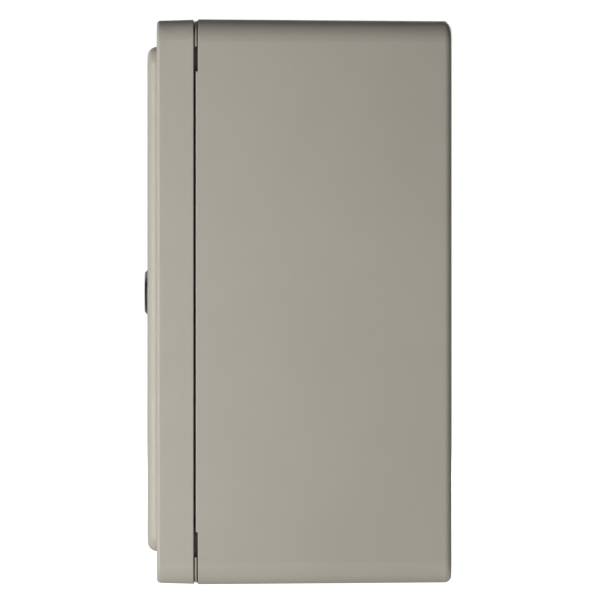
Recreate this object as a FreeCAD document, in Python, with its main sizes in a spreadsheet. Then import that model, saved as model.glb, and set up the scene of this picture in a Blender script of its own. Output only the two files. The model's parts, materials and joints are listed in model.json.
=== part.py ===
"""Wall-mounted irrigation controller: a moulded case with a hinged, locking door.

The origin is the middle of the case's back face, on the wall. +Z is up, the door faces -Y and
+X is to the right of someone who stands in front of it. Lengths are millimetres. Places are
given as x, forward and up, where forward is the distance out from the wall.
"""
import FreeCAD, Part
import math
import os
import re
import Sketcher
from FreeCAD import Rotation, Vector

SIZES = {
    # cutting tools run past the faces they open
    "cut_margin": 1,
    # case
    "case_width": 220, "case_height": 250.6, "case_depth": 113.2, "case_draft": 0.85,
    "case_wall": 3, "case_corner": 9.5, "back_edge": 3, "rim_start": 101,
    "relief_depth": 0.95, "relief_reach": 23.4, "land_corner": 0.4,
    "tongue_inset": 4.2, "tongue_wall": 2, "tongue_front": 124, "tongue_corner": 6,
    "rib_inset": 0.9, "rib_thick": 0.9, "rib_reach": 12.4, "front_edge": 0.9,
    # door
    "door_gap": 1, "door_height": 250.1, "door_front": 130.5, "door_draft": 0.5,
    "door_wall": 2.6, "door_edge": 1.5, "panel_width": 196, "panel_height": 224.4,
    "panel_up": 1.2, "panel_front": 134.9, "panel_edge": 4.2, "panel_corner": 8,
    "gasket_inset": 3.4, "gasket_width": 3.6, "gasket_back": 124.4, "gasket_corner": 2,
    # hinge
    "hinge_inset": 3.4, "hinge_back": 6.9, "hinge_up": 78, "knuckle_length": 30,
    "knuckle_radius": 3.1, "knuckle_bore": 1.56, "pin_radius": 1.5, "pin_length": 46,
    "notch_gap": 0.5, "notch_depth": 11.4, "arm_inner": 2.6, "arm_reach": 9.5,
    # lock
    "lock_x": 80, "lock_up": 4.2, "bezel_radius": 9.8, "bezel_front": 136.3, "bezel_edge": 1,
    "lock_body_radius": 8, "lock_back": 122, "barrel_radius": 6, "barrel_fit": 0.05,
    "barrel_back": 121, "barrel_front": 136, "key_slot_width": 1.4, "key_slot_height": 7,
    "key_slot_depth": 4, "nut_radius": 12, "nut_thick": 4, "cam_thick": 2.5,
    "cam_length": 20.5, "cam_width": 13, "cam_screw_radius": 3.2, "cam_screw_thick": 2,
    "strike_reach": 8, "strike_thick": 1.6, "strike_height": 26,
    "strike_leg": 14,
    # control module
    "module_width": 184, "module_height": 132, "module_up": 46, "module_back": 62.5,
    "module_front": 108, "module_wall": 2.5, "fascia_thick": 3, "module_corner": 5,
    "ear_x": 97.5, "ear_up": 54, "ear_radius": 5, "ear_thick": 3, "post_radius": 4.6,
    "back_cover_gap": 0.3, "standoff_x": 84, "standoff_up": 58, "standoff_radius": 3,
    # boards
    "board_width": 174, "board_height": 122, "board_thick": 1.6, "board_back": 94.4,
    "board_screw_radius": 1.2, "board_head_radius": 2.6, "board_head_thick": 2, "board_screw_reach": 6,
    # display
    "display_x": -38, "display_up": 82, "display_width": 78, "display_height": 34,
    "frame_border": 6, "frame_thick": 1.6, "window_thick": 2, "glass_thick": 3,
    "glass_border": 3, "display_corner": 2.5,
    # dial
    "dial_x": 50, "dial_up": 68, "dial_skirt_radius": 25, "dial_skirt_thick": 3,
    "dial_grip_radius": 16, "dial_front": 121, "dial_gap": 1, "dial_taper": 1.5,
    "pointer_width": 3, "pointer_thick": 1.2, "pointer_length": 7.5, "pointer_middle": 19.5,
    "flute_radius": 2.2, "flute_count": 18, "shaft_radius": 3, "shaft_front": 117,
    "shaft_fit": 0.06, "encoder_width": 13, "encoder_front": 100, "encoder_bush_radius": 4.5,
    "encoder_bush_front": 106, "dial_hole_radius": 6,
    # buttons
    "button_x": -62, "button_pitch_x": 24, "button_up": 22, "button_pitch_up": 22,
    "button_radius": 6, "button_front": 110.5, "button_dish": 20,
    "button_dish_depth": 0.6, "button_gap": 0.3,
    "button_flange_radius": 7.6, "button_flange_thick": 1.5, "button_back": 103.2,
    "tact_width": 6, "tact_front": 99.5, "tact_plunger_radius": 1.75, "tact_plunger_front": 102,
    # bypass switch
    "switch_x": 50, "switch_up": 20, "switch_slot_width": 14, "switch_slot_height": 5,
    "switch_body_width": 20, "switch_body_height": 9, "switch_body_front": 101,
    "slider_offset": -3, "slider_stem": 4, "slider_cap_width": 7, "slider_cap_height": 8,
    "slider_cap_back": 108.4, "slider_front": 111.5, "slider_carriage": 8, "carriage_thick": 1.4,
    # lamp
    "lamp_x": 10, "lamp_up": 100, "lamp_radius": 1.5, "lamp_front": 109,
    # parts on the back of the control board
    "chip_x": -20, "chip_up": 60, "chip_width": 12, "chip_thick": 1.6, "can_x": -60, "can_up": 20,
    "can_pitch": 14, "can_radius": 5, "can_length": 14,
    # battery
    "tray_x": 62, "tray_back": 80, "tray_width": 26, "tray_thick": 4.6, "tray_height": 30,
    "tray_lip": 4, "lip_overhang": 2, "lip_gap": 0.5, "tray_gap": 0.3,
    "cell_radius": 10, "cell_thick": 3.2, "cell_rise": 15.5,
    "cell_gap": 0.2, "holder_back": 77.5, "holder_width": 32, "holder_height": 27,
    "holder_gap": 1,
    # wiring bay
    "strip_x": 36, "strip_up": -52, "strip_width": 122, "strip_height": 46, "strip_back": 40,
    "strip_post_x": 55, "strip_post_up": 18, "strip_post_radius": 3.5,
    "block_up": -58, "block_width": 108, "block_height": 15, "block_thick": 16,
    "terminal_count": 10, "terminal_pitch": 10, "terminal_well_radius": 2.8,
    "terminal_well_depth": 6, "terminal_screw_radius": 2.5, "terminal_screw_thick": 2.5,
    "terminal_entry": 5, "terminal_entry_depth": 7,
    "terminal_entry_rise": 3,
    "fuse_x": 76, "fuse_up": -38, "fuse_radius": 2.6, "fuse_length": 20, "fuse_forward": 47.6,
    "fuse_cap_length": 5, "fuse_clip_width": 7,
    "triac_count": 8, "triac_pitch": 7.5, "triac_x": 8, "triac_up": -43, "triac_width": 4.6,
    "triac_thick": 8, "triac_height": 3.6,
    "ribbon_x": 2, "ribbon_width": 26, "ribbon_thick": 1.2, "ribbon_up": -36,
    "ribbon_forward": 74, "plug_width": 30, "plug_height": 6, "plug_thick": 9,
    "header_up": 20, "ribbon_slot_gap": 1.4,
    # mains compartment
    "mains_x": -68, "mains_width": 68, "mains_low": -119, "mains_height": 85,
    "mains_front": 88, "mains_wall": 2.5, "cover_thick": 2.5, "cover_post": 3.4,
    "post_sink": 0.5,
    "core_up": -62, "core_width": 48, "core_height": 44, "core_back": 20, "core_thick": 22,
    "core_leg": 15, "coil_width": 33, "coil_height": 26, "coil_back": 14, "coil_thick": 34,
    "bracket_thick": 1.2, "bracket_height": 24, "bracket_foot": 6, "bracket_screw_head": 2.85,
    "lead_radius": 1.2, "lead_pitch": 9, "lead_forward": 36,
    "mains_block_up": -97, "mains_block_width": 34, "mains_block_height": 12,
    "mains_block_thick": 14, "mains_block_back": 29,
    # conduit and mounting holes
    "mains_conduit_radius": 11.1, "field_conduit_radius": 14.1, "field_conduit_x": 30,
    "spare_conduit_x": 78, "conduit_forward": 45, "plug_lip": 2, "plug_lip_thick": 1.6,
    "wall_hole_x": 25, "wall_hole_up": -108, "wall_hole_radius": 2.6,
    "keyhole_up": 104, "keyhole_radius": 5.2, "keyhole_slot_radius": 2.6,
    "keyhole_slot_length": 9,
    # fasteners and paper
    "screw_radius": 1.5, "screw_head_radius": 3.2, "screw_head_thick": 2.4,
    "screw_length": 9, "recess_width": 1, "recess_length": 4, "recess_depth": 1,
    "card_width": 112, "card_height": 150, "card_thick": 0.6, "card_x": -24,
    "holder_strip": 5, "holder_strip_thick": 1.6,
}

document = FreeCAD.newDocument("irrigation_controller")
sheet = document.addObject("Spreadsheet::Sheet", "sizes")
for row, (alias, value) in enumerate(SIZES.items(), start=1):
    sheet.set(f"A{row}", alias)
    sheet.set(f"B{row}", str(value))
    sheet.setAlias(f"B{row}", alias)
document.recompute()

FORWARD = Rotation(Vector(1, 0, 0), 90)
RIGHT = Rotation(Vector(0, 1, 0), 90)
UPRIGHT = Rotation()


# ---------- formulas and basic pieces ----------

def formula(text):
    """Turn a formula written with the sheet's aliases into an expression."""
    return re.sub(r"[a-z]+(?:_[a-z]+)+", r"sizes.\g<0>", str(text))


def size(text):
    """Work out a formula's present value."""
    return float(sheet.evalExpression(formula(text)))


def bind(item, **formulas):
    for prop, text in formulas.items():
        item.setExpression(prop.replace("__", "."), formula(text))


def place(item, x, forward, up, turn=UPRIGHT):
    item.Placement.Rotation = turn
    bind(item, Placement__Base__x=x, Placement__Base__y=f"-({forward})", Placement__Base__z=up)
    return item


def new(kind, name):
    item = document.addObject(kind, name)
    item.Label = name
    return item


def block(name, x, forward, up, width, thick, height):
    """A box centred on x and up, whose back face is at forward."""
    item = new("Part::Box", name)
    bind(item, Length=width, Width=thick, Height=height)
    return place(item, f"{x} - ({width}) / 2", f"{forward} + {thick}", f"{up} - ({height}) / 2")


def rod(name, x, forward, up, radius, length, turn=FORWARD):
    """A cylinder that starts at the point and runs forward, or along another turn."""
    item = new("Part::Cylinder", name)
    bind(item, Radius=radius, Height=length)
    return place(item, x, forward, up, turn)


def cone(name, x, forward, up, radius, end_radius, length):
    item = new("Part::Cone", name)
    bind(item, Radius1=radius, Radius2=end_radius, Height=length)
    return place(item, x, forward, up, FORWARD)


def fuse(name, *pieces):
    item = new("Part::MultiFuse", name)
    item.Shapes = list(pieces)
    return item


def cut(name, base, *tools):
    item = new("Part::Cut", name)
    item.Base = base
    item.Tool = tools[0] if len(tools) == 1 else fuse(f"{name}_tools", *tools)
    return item


def common(name, *pieces):
    item = new("Part::MultiCommon", name)
    item.Shapes = list(pieces)
    return item


# ---------- sketched slabs ----------

def outline(body, name, forward, width, height, radius, x="0", up="0"):
    """A rounded rectangle, parallel to the wall, on the body's own XZ plane."""
    sketch = body.newObject("Sketcher::SketchObject", name)
    plane = next(f for f in body.Origin.OriginFeatures if f.Role == "XZ_Plane")
    sketch.AttachmentSupport = [(plane, "")]
    sketch.MapMode = "FlatFace"
    bind(sketch, AttachmentOffset__Base__x=x, AttachmentOffset__Base__y=up,
         AttachmentOffset__Base__z=forward)
    corner = size(radius)
    across = size(width) / 2 - corner
    tall = size(height) / 2 - corner
    centres = [(across, -tall, -90), (across, tall, 0), (-across, tall, 90), (-across, -tall, 180)]
    arcs = []
    for right, top, start in centres:
        circle = Part.Circle(Vector(right, top, 0), Vector(0, 0, 1), corner)
        arcs.append(Part.ArcOfCircle(circle, math.radians(start), math.radians(start + 90)))
    sides = [Part.LineSegment(arcs[i].EndPoint, arcs[(i + 1) % 4].StartPoint) for i in range(4)]
    sketch.addGeometry(arcs + sides, False)
    rule = Sketcher.Constraint
    rules = []
    for i in range(4):
        rules.append(rule("Tangent", i, 2, 4 + i, 1))
        rules.append(rule("Tangent", 4 + i, 2, (i + 1) % 4, 1))
    rules += [rule("Vertical", 4), rule("Horizontal", 5), rule("Vertical", 6)]
    rules += [rule("Equal", 0, 1), rule("Equal", 1, 2), rule("Equal", 2, 3)]
    rules.append(rule("Symmetric", 0, 3, 2, 3, -1, 1))
    sketch.addConstraint(rules)
    driven = {"width": rule("DistanceX", 6, 1, 4, 1, size(width)),
              "height": rule("DistanceY", 7, 1, 5, 1, size(height)),
              "radius": rule("Radius", 0, corner)}
    for label, driving in driven.items():
        sketch.renameConstraint(sketch.addConstraint(driving), label)
    bind(sketch, Constraints__width=width, Constraints__height=height, Constraints__radius=radius)
    return sketch


def extrude(body, kind, sketch, length, taper=None):
    feature = body.newObject(f"PartDesign::{kind}", f"{sketch.Name}_{kind.lower()}")
    feature.Profile = sketch
    bind(feature, Length=length)
    if taper:
        bind(feature, TaperAngle=taper)
    sketch.Visibility = False
    document.recompute()
    return feature


def pad(body, name, forward, length, width, height, radius, taper=None, x="0", up="0"):
    return extrude(body, "Pad", outline(body, name, forward, width, height, radius, x, up),
                   length, taper)


def pocket(body, name, forward, depth, width, height, radius, x="0", up="0"):
    """A pocket that starts at forward and goes back towards the wall."""
    before = body.Shape.Volume
    feature = extrude(body, "Pocket", outline(body, name, forward, width, height, radius, x, up),
                      depth)
    if feature.Shape.Volume >= before:
        raise RuntimeError(f"{name} cuts nothing")
    return feature


def round_rim(body, feature, name, forward, radius):
    """Fillet every edge of the feature that lies wholly at one distance from the wall."""
    edges = []
    for number, edge in enumerate(feature.Shape.Edges, start=1):
        box = edge.BoundBox
        if abs(box.YMin + size(forward)) < 0.01 and abs(box.YMax + size(forward)) < 0.01:
            edges.append(f"Edge{number}")
    fillet = body.newObject("PartDesign::Fillet", name)
    fillet.Base = (feature, edges)
    bind(fillet, Radius=radius)
    document.recompute()
    return fillet


def slab(name, forward, length, width, height, radius, x="0", up="0"):
    body = new("PartDesign::Body", name)
    pad(body, f"{name}_outline", forward, length, width, height, radius, None, x, up)
    return body


def screw(name, x, forward, up, radius="screw_radius", head="screw_head_radius",
          thick="screw_head_thick", length="screw_length"):
    """A pan-head screw whose head sits on a surface at forward."""
    shank = rod(f"{name}_shank", x, f"{forward} - {length}", up, radius, length)
    cap = rod(f"{name}_cap", x, forward, up, head, thick)
    solid = fuse(f"{name}_solid", shank, cap)
    depth = f"{forward} + {thick} - recess_depth"
    bars = [block(f"{name}_bar_a", x, depth, up, "recess_length", "recess_depth", "recess_width"),
            block(f"{name}_bar_b", x, depth, up, "recess_width", "recess_depth", "recess_length")]
    return cut(f"{name}_screw", solid, *bars)


def screws(name, places, **sizes):
    return fuse(name, *[screw(f"{name}_{i}", *spot, **sizes) for i, spot in enumerate(places)])


def both_ways(x, up, centre_x="0", centre_up="0"):
    """The four corners of a rectangle of places."""
    return [(f"{centre_x} {a} {x}", f"{centre_up} {b} {up}") for a in "-+" for b in "-+"]


# ---------- case ----------

def case_bosses():
    posts = []
    for i, (x, up) in enumerate(both_ways("ear_x", "ear_up", "0", "module_up")):
        posts.append(rod(f"module_post_{i}", x, "case_wall / 2", up, "post_radius",
                         "module_back - case_wall / 2"))
    for i, (x, up) in enumerate(both_ways("strip_post_x", "strip_post_up", "strip_x", "strip_up")):
        posts.append(rod(f"strip_post_{i}", x, "case_wall / 2", up, "strip_post_radius",
                         "strip_back - case_wall / 2"))
    return posts


def case_holes():
    holes = []
    for i, (x, up) in enumerate(both_ways("ear_x", "ear_up", "0", "module_up")):
        holes.append(rod(f"module_post_hole_{i}", x, "module_back + ear_thick - screw_length", up,
                         "screw_radius", "screw_length"))
    for i, (x, up) in enumerate(both_ways("strip_post_x", "strip_post_up", "strip_x", "strip_up")):
        holes.append(rod(f"strip_post_hole_{i}", x, "strip_back + board_thick - screw_length", up,
                         "screw_radius", "screw_length"))
    for side in "-+":
        holes.append(rod(f"wall_hole_{'left' if side == '-' else 'right'}", f"{side}wall_hole_x",
                         "-cut_margin", "wall_hole_up", "wall_hole_radius",
                         "case_wall + 2 * cut_margin"))
    through = "case_wall + 2 * cut_margin"
    holes.append(rod("keyhole_round", "0", "-cut_margin", "keyhole_up", "keyhole_radius", through))
    holes.append(rod("keyhole_end", "0", "-cut_margin", "keyhole_up + keyhole_slot_length",
                     "keyhole_slot_radius", through))
    holes.append(block("keyhole_slot", "0", "-cut_margin", "keyhole_up + keyhole_slot_length / 2",
                       "keyhole_slot_radius * 2", through, "keyhole_slot_length"))
    for name, x, radius in [("mains", "mains_x", "mains_conduit_radius"),
                            ("field", "field_conduit_x", "field_conduit_radius"),
                            ("spare", "spare_conduit_x", "mains_conduit_radius")]:
        holes.append(rod(f"{name}_conduit_hole", x, "conduit_forward", "-case_height / 2 - cut_margin",
                         radius, "case_wall * 2", UPRIGHT))
    return holes


HINGE_X = "-(case_width / 2 - hinge_inset)"
HINGE_FORWARD = "case_depth + door_gap - hinge_back"


def hinge_notches():
    """Clearance for the door's two knuckles in the left wall, and the holes for their pins."""
    tools = []
    span = "knuckle_length + notch_gap * 2"
    for end, sign in [("low", "-"), ("high", "+")]:
        middle = f"{sign}hinge_up"
        tools.append(block(f"hinge_notch_{end}", "-case_width / 2", "case_depth - notch_depth",
                           middle, "hinge_inset * 4", "notch_depth", span))
        tools.append(rod(f"hinge_hole_{end}", HINGE_X, HINGE_FORWARD,
                         f"{middle} - pin_length / 2", "pin_radius", "pin_length", UPRIGHT))
    return tools


def rear_case():
    body = new("PartDesign::Body", "case_moulding")
    shell = pad(body, "case_outline", "0", "case_depth - relief_depth",
                "case_width - 2 * case_draft", "case_height - 2 * case_draft",
                "case_corner", "atan(case_draft / case_depth)")
    round_rim(body, shell, "case_back_edge", "0", "back_edge")
    land_from = "case_depth - relief_depth"
    pad(body, "side_lands", land_from, "relief_depth", "case_width",
        "case_height - 2 * relief_reach", "land_corner")
    pad(body, "end_lands", land_from, "relief_depth", "case_width - 2 * relief_reach",
        "case_height", "land_corner")
    pad(body, "tongue_outline", land_from, "tongue_front - case_depth + relief_depth",
        "case_width - 2 * tongue_inset", "case_height - 2 * tongue_inset", "tongue_corner")
    pocket(body, "cavity_outline", "rim_start", "rim_start - case_wall",
           "case_width - 2 * (case_draft + case_wall)",
           "case_height - 2 * (case_draft + case_wall)", "case_corner - case_wall")
    pocket(body, "mouth_outline", "tongue_front", "tongue_front - rim_start",
           "case_width - 2 * (tongue_inset + tongue_wall)",
           "case_height - 2 * (tongue_inset + tongue_wall)", "tongue_corner - tongue_wall")

    rib_from = "case_depth + (door_gap - relief_depth - rib_thick) / 2"
    ring = new("PartDesign::Body", "rib_ring")
    pad(ring, "rib_outline", rib_from, "rib_thick", "case_width - 2 * rib_inset",
        "case_height - 2 * rib_inset", "case_corner - rib_inset")
    pocket(ring, "rib_inner", f"{rib_from} + rib_thick", "rib_thick",
           "case_width - 2 * (tongue_inset + tongue_wall / 2)",
           "case_height - 2 * (tongue_inset + tongue_wall / 2)", "tongue_corner - tongue_wall / 2")
    corners = [block(f"rib_corner_{i}", x, rib_from, up, "rib_reach * 2", "rib_thick",
                     "rib_reach * 2")
               for i, (x, up) in enumerate(both_ways("case_width / 2", "case_height / 2"))]
    ribs = common("corner_ribs", ring, fuse("rib_corners", *corners))

    # The envelope rounds the moulding's front edge, and leaves the tongue as it is.
    envelope = new("PartDesign::Body", "case_envelope")
    block_pad = pad(envelope, "envelope_outline", "-cut_margin", "case_depth + cut_margin",
                    "case_width + 2 * land_corner", "case_height + 2 * land_corner", "case_corner")
    round_rim(envelope, block_pad, "envelope_edge", "case_depth", "front_edge + land_corner")
    pad(envelope, "envelope_tongue", "case_depth - cut_margin",
        "tongue_front - case_depth + 2 * cut_margin", "case_width - 2 * tongue_inset + land_corner",
        "case_height - 2 * tongue_inset + land_corner", "tongue_corner")
    moulding = common("rounded_moulding", body, envelope)
    solid = fuse("case_solid", moulding, ribs, *case_bosses())
    return cut("rear_case", solid, *case_holes(), *hinge_notches())


def hinge_pins():
    pins = [rod(f"hinge_pin_{end}", HINGE_X, HINGE_FORWARD, f"{sign}hinge_up - pin_length / 2",
                "pin_radius", "pin_length", UPRIGHT) for end, sign in [("low", "-"), ("high", "+")]]
    return fuse("hinge_pins", *pins)


def strike():
    inner = "case_width / 2 - tongue_inset - tongue_wall"
    middle = f"{inner} - strike_thick / 2"
    plate_from = "tongue_front - strike_thick"
    leg = block("strike_leg_plate", middle, "tongue_front - strike_leg", "lock_up", "strike_thick",
                "strike_leg", "strike_height")
    hook = block("strike_hook", f"{inner} - strike_reach / 2", plate_from, "lock_up",
                 "strike_reach", "strike_thick", "strike_height")
    return fuse("strike_plate", leg, hook)


# ---------- door ----------

def door_shell():
    back = "case_depth + door_gap"
    body = new("PartDesign::Body", "door_moulding")
    skirt = pad(body, "door_outline", back, "door_front - case_depth - door_gap", "case_width",
                "door_height", "case_corner", "-atan(door_draft / (door_front - case_depth))")
    round_rim(body, skirt, "door_front_edge", "door_front", "door_edge")
    panel = pad(body, "panel_outline", "door_front - door_wall", "panel_front - door_front + door_wall",
                "panel_width", "panel_height", "panel_corner", None, "0", "panel_up")
    round_rim(body, panel, "panel_front_edge", "panel_front", "panel_edge")
    pocket(body, "door_inner", "door_front - door_wall",
           "door_front - door_wall - case_depth - door_gap", "case_width - 2 * door_wall",
           "door_height - 2 * door_wall", "case_corner - door_wall")
    pocket(body, "panel_inner", "panel_front - door_wall", "panel_front - door_front",
           "panel_width - 4 * door_wall", "panel_height - 4 * door_wall",
           "panel_corner - door_wall", "0", "panel_up")
    arms = []
    bores = []
    for end, sign in [("low", "-"), ("high", "+")]:
        start = f"{sign}hinge_up - knuckle_length / 2"
        arms.append(rod(f"knuckle_{end}", HINGE_X, HINGE_FORWARD, start, "knuckle_radius",
                        "knuckle_length", UPRIGHT))
        arms.append(block(f"knuckle_arm_{end}", "-(case_width / 2 - hinge_inset + knuckle_radius) "
                          "+ arm_inner / 2", HINGE_FORWARD, f"{sign}hinge_up", "arm_inner",
                          "arm_reach", "knuckle_length"))
        bores.append(rod(f"knuckle_bore_{end}", HINGE_X, HINGE_FORWARD, start, "knuckle_bore",
                         "knuckle_length", UPRIGHT))
    hole = rod("lock_hole", "lock_x", "door_front", "lock_up", "lock_body_radius",
               "panel_front - door_front + cut_margin")
    return cut("door_shell", fuse("door_solid", body, *arms), hole, *bores)


def door_gasket():
    thick = "door_front - door_wall - gasket_back"
    outer = slab("gasket_outer", "gasket_back", thick, "case_width - 2 * gasket_inset",
                 "door_height - 2 * gasket_inset", "case_corner - gasket_inset")
    inner = slab("gasket_inner", "gasket_back", thick,
                 "case_width - 2 * (gasket_inset + gasket_width)",
                 "door_height - 2 * (gasket_inset + gasket_width)", "gasket_corner")
    return cut("door_gasket", outer, inner)


def lock():
    spot = ("lock_x", "lock_up")
    flange = rod("bezel_flange", spot[0], "panel_front", spot[1], "bezel_radius",
                 "bezel_front - panel_front - bezel_edge")
    face = cone("bezel_face", spot[0], "bezel_front - bezel_edge", spot[1], "bezel_radius",
                "bezel_radius - bezel_edge", "bezel_edge")
    sleeve = rod("bezel_sleeve", spot[0], "lock_back", spot[1], "lock_body_radius",
                 "panel_front - lock_back")
    bore = rod("bezel_bore", spot[0], "lock_back", spot[1], "barrel_radius + barrel_fit",
               "bezel_front - lock_back")
    bezel = cut("lock_bezel", fuse("bezel_solid", flange, face, sleeve), bore)

    plug = rod("barrel_plug", spot[0], "barrel_back", spot[1], "barrel_radius",
               "barrel_front - barrel_back")
    slot = block("key_slot", spot[0], "barrel_front - key_slot_depth", spot[1], "key_slot_width",
                 "key_slot_depth", "key_slot_height")
    barrel = cut("lock_barrel", plug, slot)

    nut_back = "panel_front - door_wall - nut_thick"
    hexagon = new("Part::Prism", "nut_hexagon")
    hexagon.Polygon = 6
    bind(hexagon, Circumradius="nut_radius", Height="nut_thick")
    place(hexagon, spot[0], nut_back, spot[1], FORWARD)
    nut = cut("lock_nut", hexagon, rod("nut_bore", spot[0], nut_back, spot[1], "lock_body_radius",
                                       "nut_thick"))

    cam_back = "barrel_back - cam_thick"
    hub = rod("cam_hub", spot[0], cam_back, spot[1], "cam_width / 2", "cam_thick")
    arm = block("cam_arm", spot[0], cam_back, "lock_up + cam_length / 2", "cam_width", "cam_thick",
                "cam_length")
    cam = fuse("lock_cam", hub, arm)
    cam_screw = rod("lock_screw", spot[0], f"{cam_back} - cam_screw_thick", spot[1],
                    "cam_screw_radius", "cam_screw_thick")
    return [bezel, barrel, nut, cam, cam_screw]


def instruction_card():
    face = "panel_front - door_wall"
    card = block("instruction_card", "card_x", f"{face} - card_thick", "panel_up", "card_width",
                 "card_thick", "card_height")
    strips = []
    for side, sign in [("left", "-"), ("right", "+")]:
        x = f"card_x {sign} (card_width / 2 + holder_strip / 2)"
        strips.append(block(f"card_strip_{side}", x, f"{face} - holder_strip_thick", "panel_up",
                            "holder_strip", "holder_strip_thick", "card_height"))
    return [card, fuse("card_holder", *strips)]


# ---------- control module ----------

FASCIA_BACK = "module_front - fascia_thick"


def button_spots():
    """Six keys in two rows of three, from the lower left."""
    return [(f"button_x + {column} * button_pitch_x", f"button_up + {level} * button_pitch_up")
            for level in range(2) for column in range(3)]


def module_housing():
    outer = slab("module_outer", "module_back", "module_front - module_back", "module_width",
                 "module_height", "module_corner", "0", "module_up")
    inner = slab("module_inner", "module_back", "module_front - module_back - fascia_thick",
                 "module_width - 2 * module_wall", "module_height - 2 * module_wall",
                 "module_corner - module_wall", "0", "module_up")
    ears = []
    holes = []
    web = "ear_x - module_width / 2"
    for i, (x, up) in enumerate(both_ways("ear_x", "ear_up", "0", "module_up")):
        ears.append(rod(f"ear_{i}", x, "module_back", up, "ear_radius", "ear_thick"))
        ears.append(block(f"ear_web_{i}", f"({x}) * (1 - ({web}) / (2 * ear_x))", "module_back", up,
                          web, "ear_thick", "ear_radius * 2"))
        holes.append(rod(f"ear_hole_{i}", x, "module_back", up, "screw_radius", "ear_thick"))
    posts = []
    for i, (x, up) in enumerate(both_ways("standoff_x", "standoff_up", "0", "module_up")):
        posts.append(rod(f"standoff_{i}", x, "board_back + board_thick", up, "standoff_radius",
                         f"{FASCIA_BACK} - board_back - board_thick"))
        holes.append(rod(f"standoff_hole_{i}", x, "board_back + board_thick", up,
                         "board_screw_radius", "board_screw_reach"))
    for i, (x, up) in enumerate(button_spots()):
        holes.append(rod(f"button_hole_{i}", x, FASCIA_BACK, up, "button_radius + button_gap",
                         "fascia_thick"))
    holes.append(rod("dial_hole", "dial_x", FASCIA_BACK, "dial_up", "dial_hole_radius",
                     "fascia_thick"))
    holes.append(rod("lamp_hole", "lamp_x", FASCIA_BACK, "lamp_up", "lamp_radius", "fascia_thick"))
    holes.append(block("display_hole", "display_x", FASCIA_BACK, "display_up", "display_width",
                       "fascia_thick", "display_height"))
    holes.append(block("switch_hole", "switch_x", FASCIA_BACK, "switch_up", "switch_slot_width",
                       "fascia_thick", "switch_slot_height"))
    floor = "module_up - module_height / 2 + module_wall / 2"
    holes.append(block("tray_hole", "tray_x", "tray_back - tray_gap", floor,
                       "tray_width + 2 * tray_gap", "tray_thick + 2 * tray_gap",
                       "module_wall + cut_margin"))
    holes.append(block("ribbon_hole", "ribbon_x", "ribbon_forward - ribbon_slot_gap", floor,
                       "ribbon_width + 2 * ribbon_slot_gap",
                       "ribbon_thick + 2 * ribbon_slot_gap", "module_wall + cut_margin"))
    hollow = cut("module_hollow", outer, inner)
    return cut("module_housing", fuse("module_solid", hollow, *ears, *posts), *holes)


def module_fittings():
    spots = both_ways("ear_x", "ear_up", "0", "module_up")
    board_spots = both_ways("standoff_x", "standoff_up", "0", "module_up")
    cover = slab("module_back_cover", "module_back", "module_wall",
                 "module_width - 2 * (module_wall + back_cover_gap)",
                 "module_height - 2 * (module_wall + back_cover_gap)",
                 "module_corner - module_wall - back_cover_gap", "0", "module_up")
    return [cover,
            screws("module_screws", [(x, "module_back + ear_thick", up) for x, up in spots]),
            rear_screws("board_screws", board_spots, "board_back")]


def rear_screws(name, spots, forward):
    """Screws that go forward into standoffs, with their heads behind a board."""
    pieces = []
    for i, (x, up) in enumerate(spots):
        pieces.append(rod(f"{name}_head_{i}", x, f"{forward} - board_head_thick", up,
                          "board_head_radius", "board_head_thick"))
        pieces.append(rod(f"{name}_shank_{i}", x, forward, up, "board_screw_radius",
                          "board_thick + board_screw_reach"))
    return fuse(name, *pieces)


def control_board():
    plate = block("control_plate", "0", "board_back", "module_up", "board_width", "board_thick",
                  "board_height")
    holes = [rod(f"board_hole_{i}", x, "board_back", up, "board_screw_radius", "board_thick")
             for i, (x, up) in enumerate(both_ways("standoff_x", "standoff_up", "0", "module_up"))]
    return cut("control_board", plate, *holes)


def display():
    spot = ("display_x", "display_up")
    outer = slab("frame_outer", "module_front", "frame_thick",
                 "display_width + 2 * frame_border", "display_height + 2 * frame_border",
                 "display_corner * 2", *spot)
    inner = slab("frame_inner", "module_front", "frame_thick", "display_width", "display_height",
                 "display_corner", *spot)
    window = block("display_window", spot[0], "module_front - window_thick", spot[1],
                   "display_width", "window_thick", "display_height")
    glass_back = f"{FASCIA_BACK} - glass_thick"
    glass = block("display_glass", spot[0], glass_back, spot[1],
                  "display_width + 2 * glass_border", "glass_thick",
                  "display_height + 2 * glass_border")
    backlight = block("display_backlight", spot[0], "board_back + board_thick", spot[1],
                      "display_width", f"{glass_back} - board_back - board_thick",
                      "display_height")
    return [cut("display_frame", outer, inner), window, glass, backlight]


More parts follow.
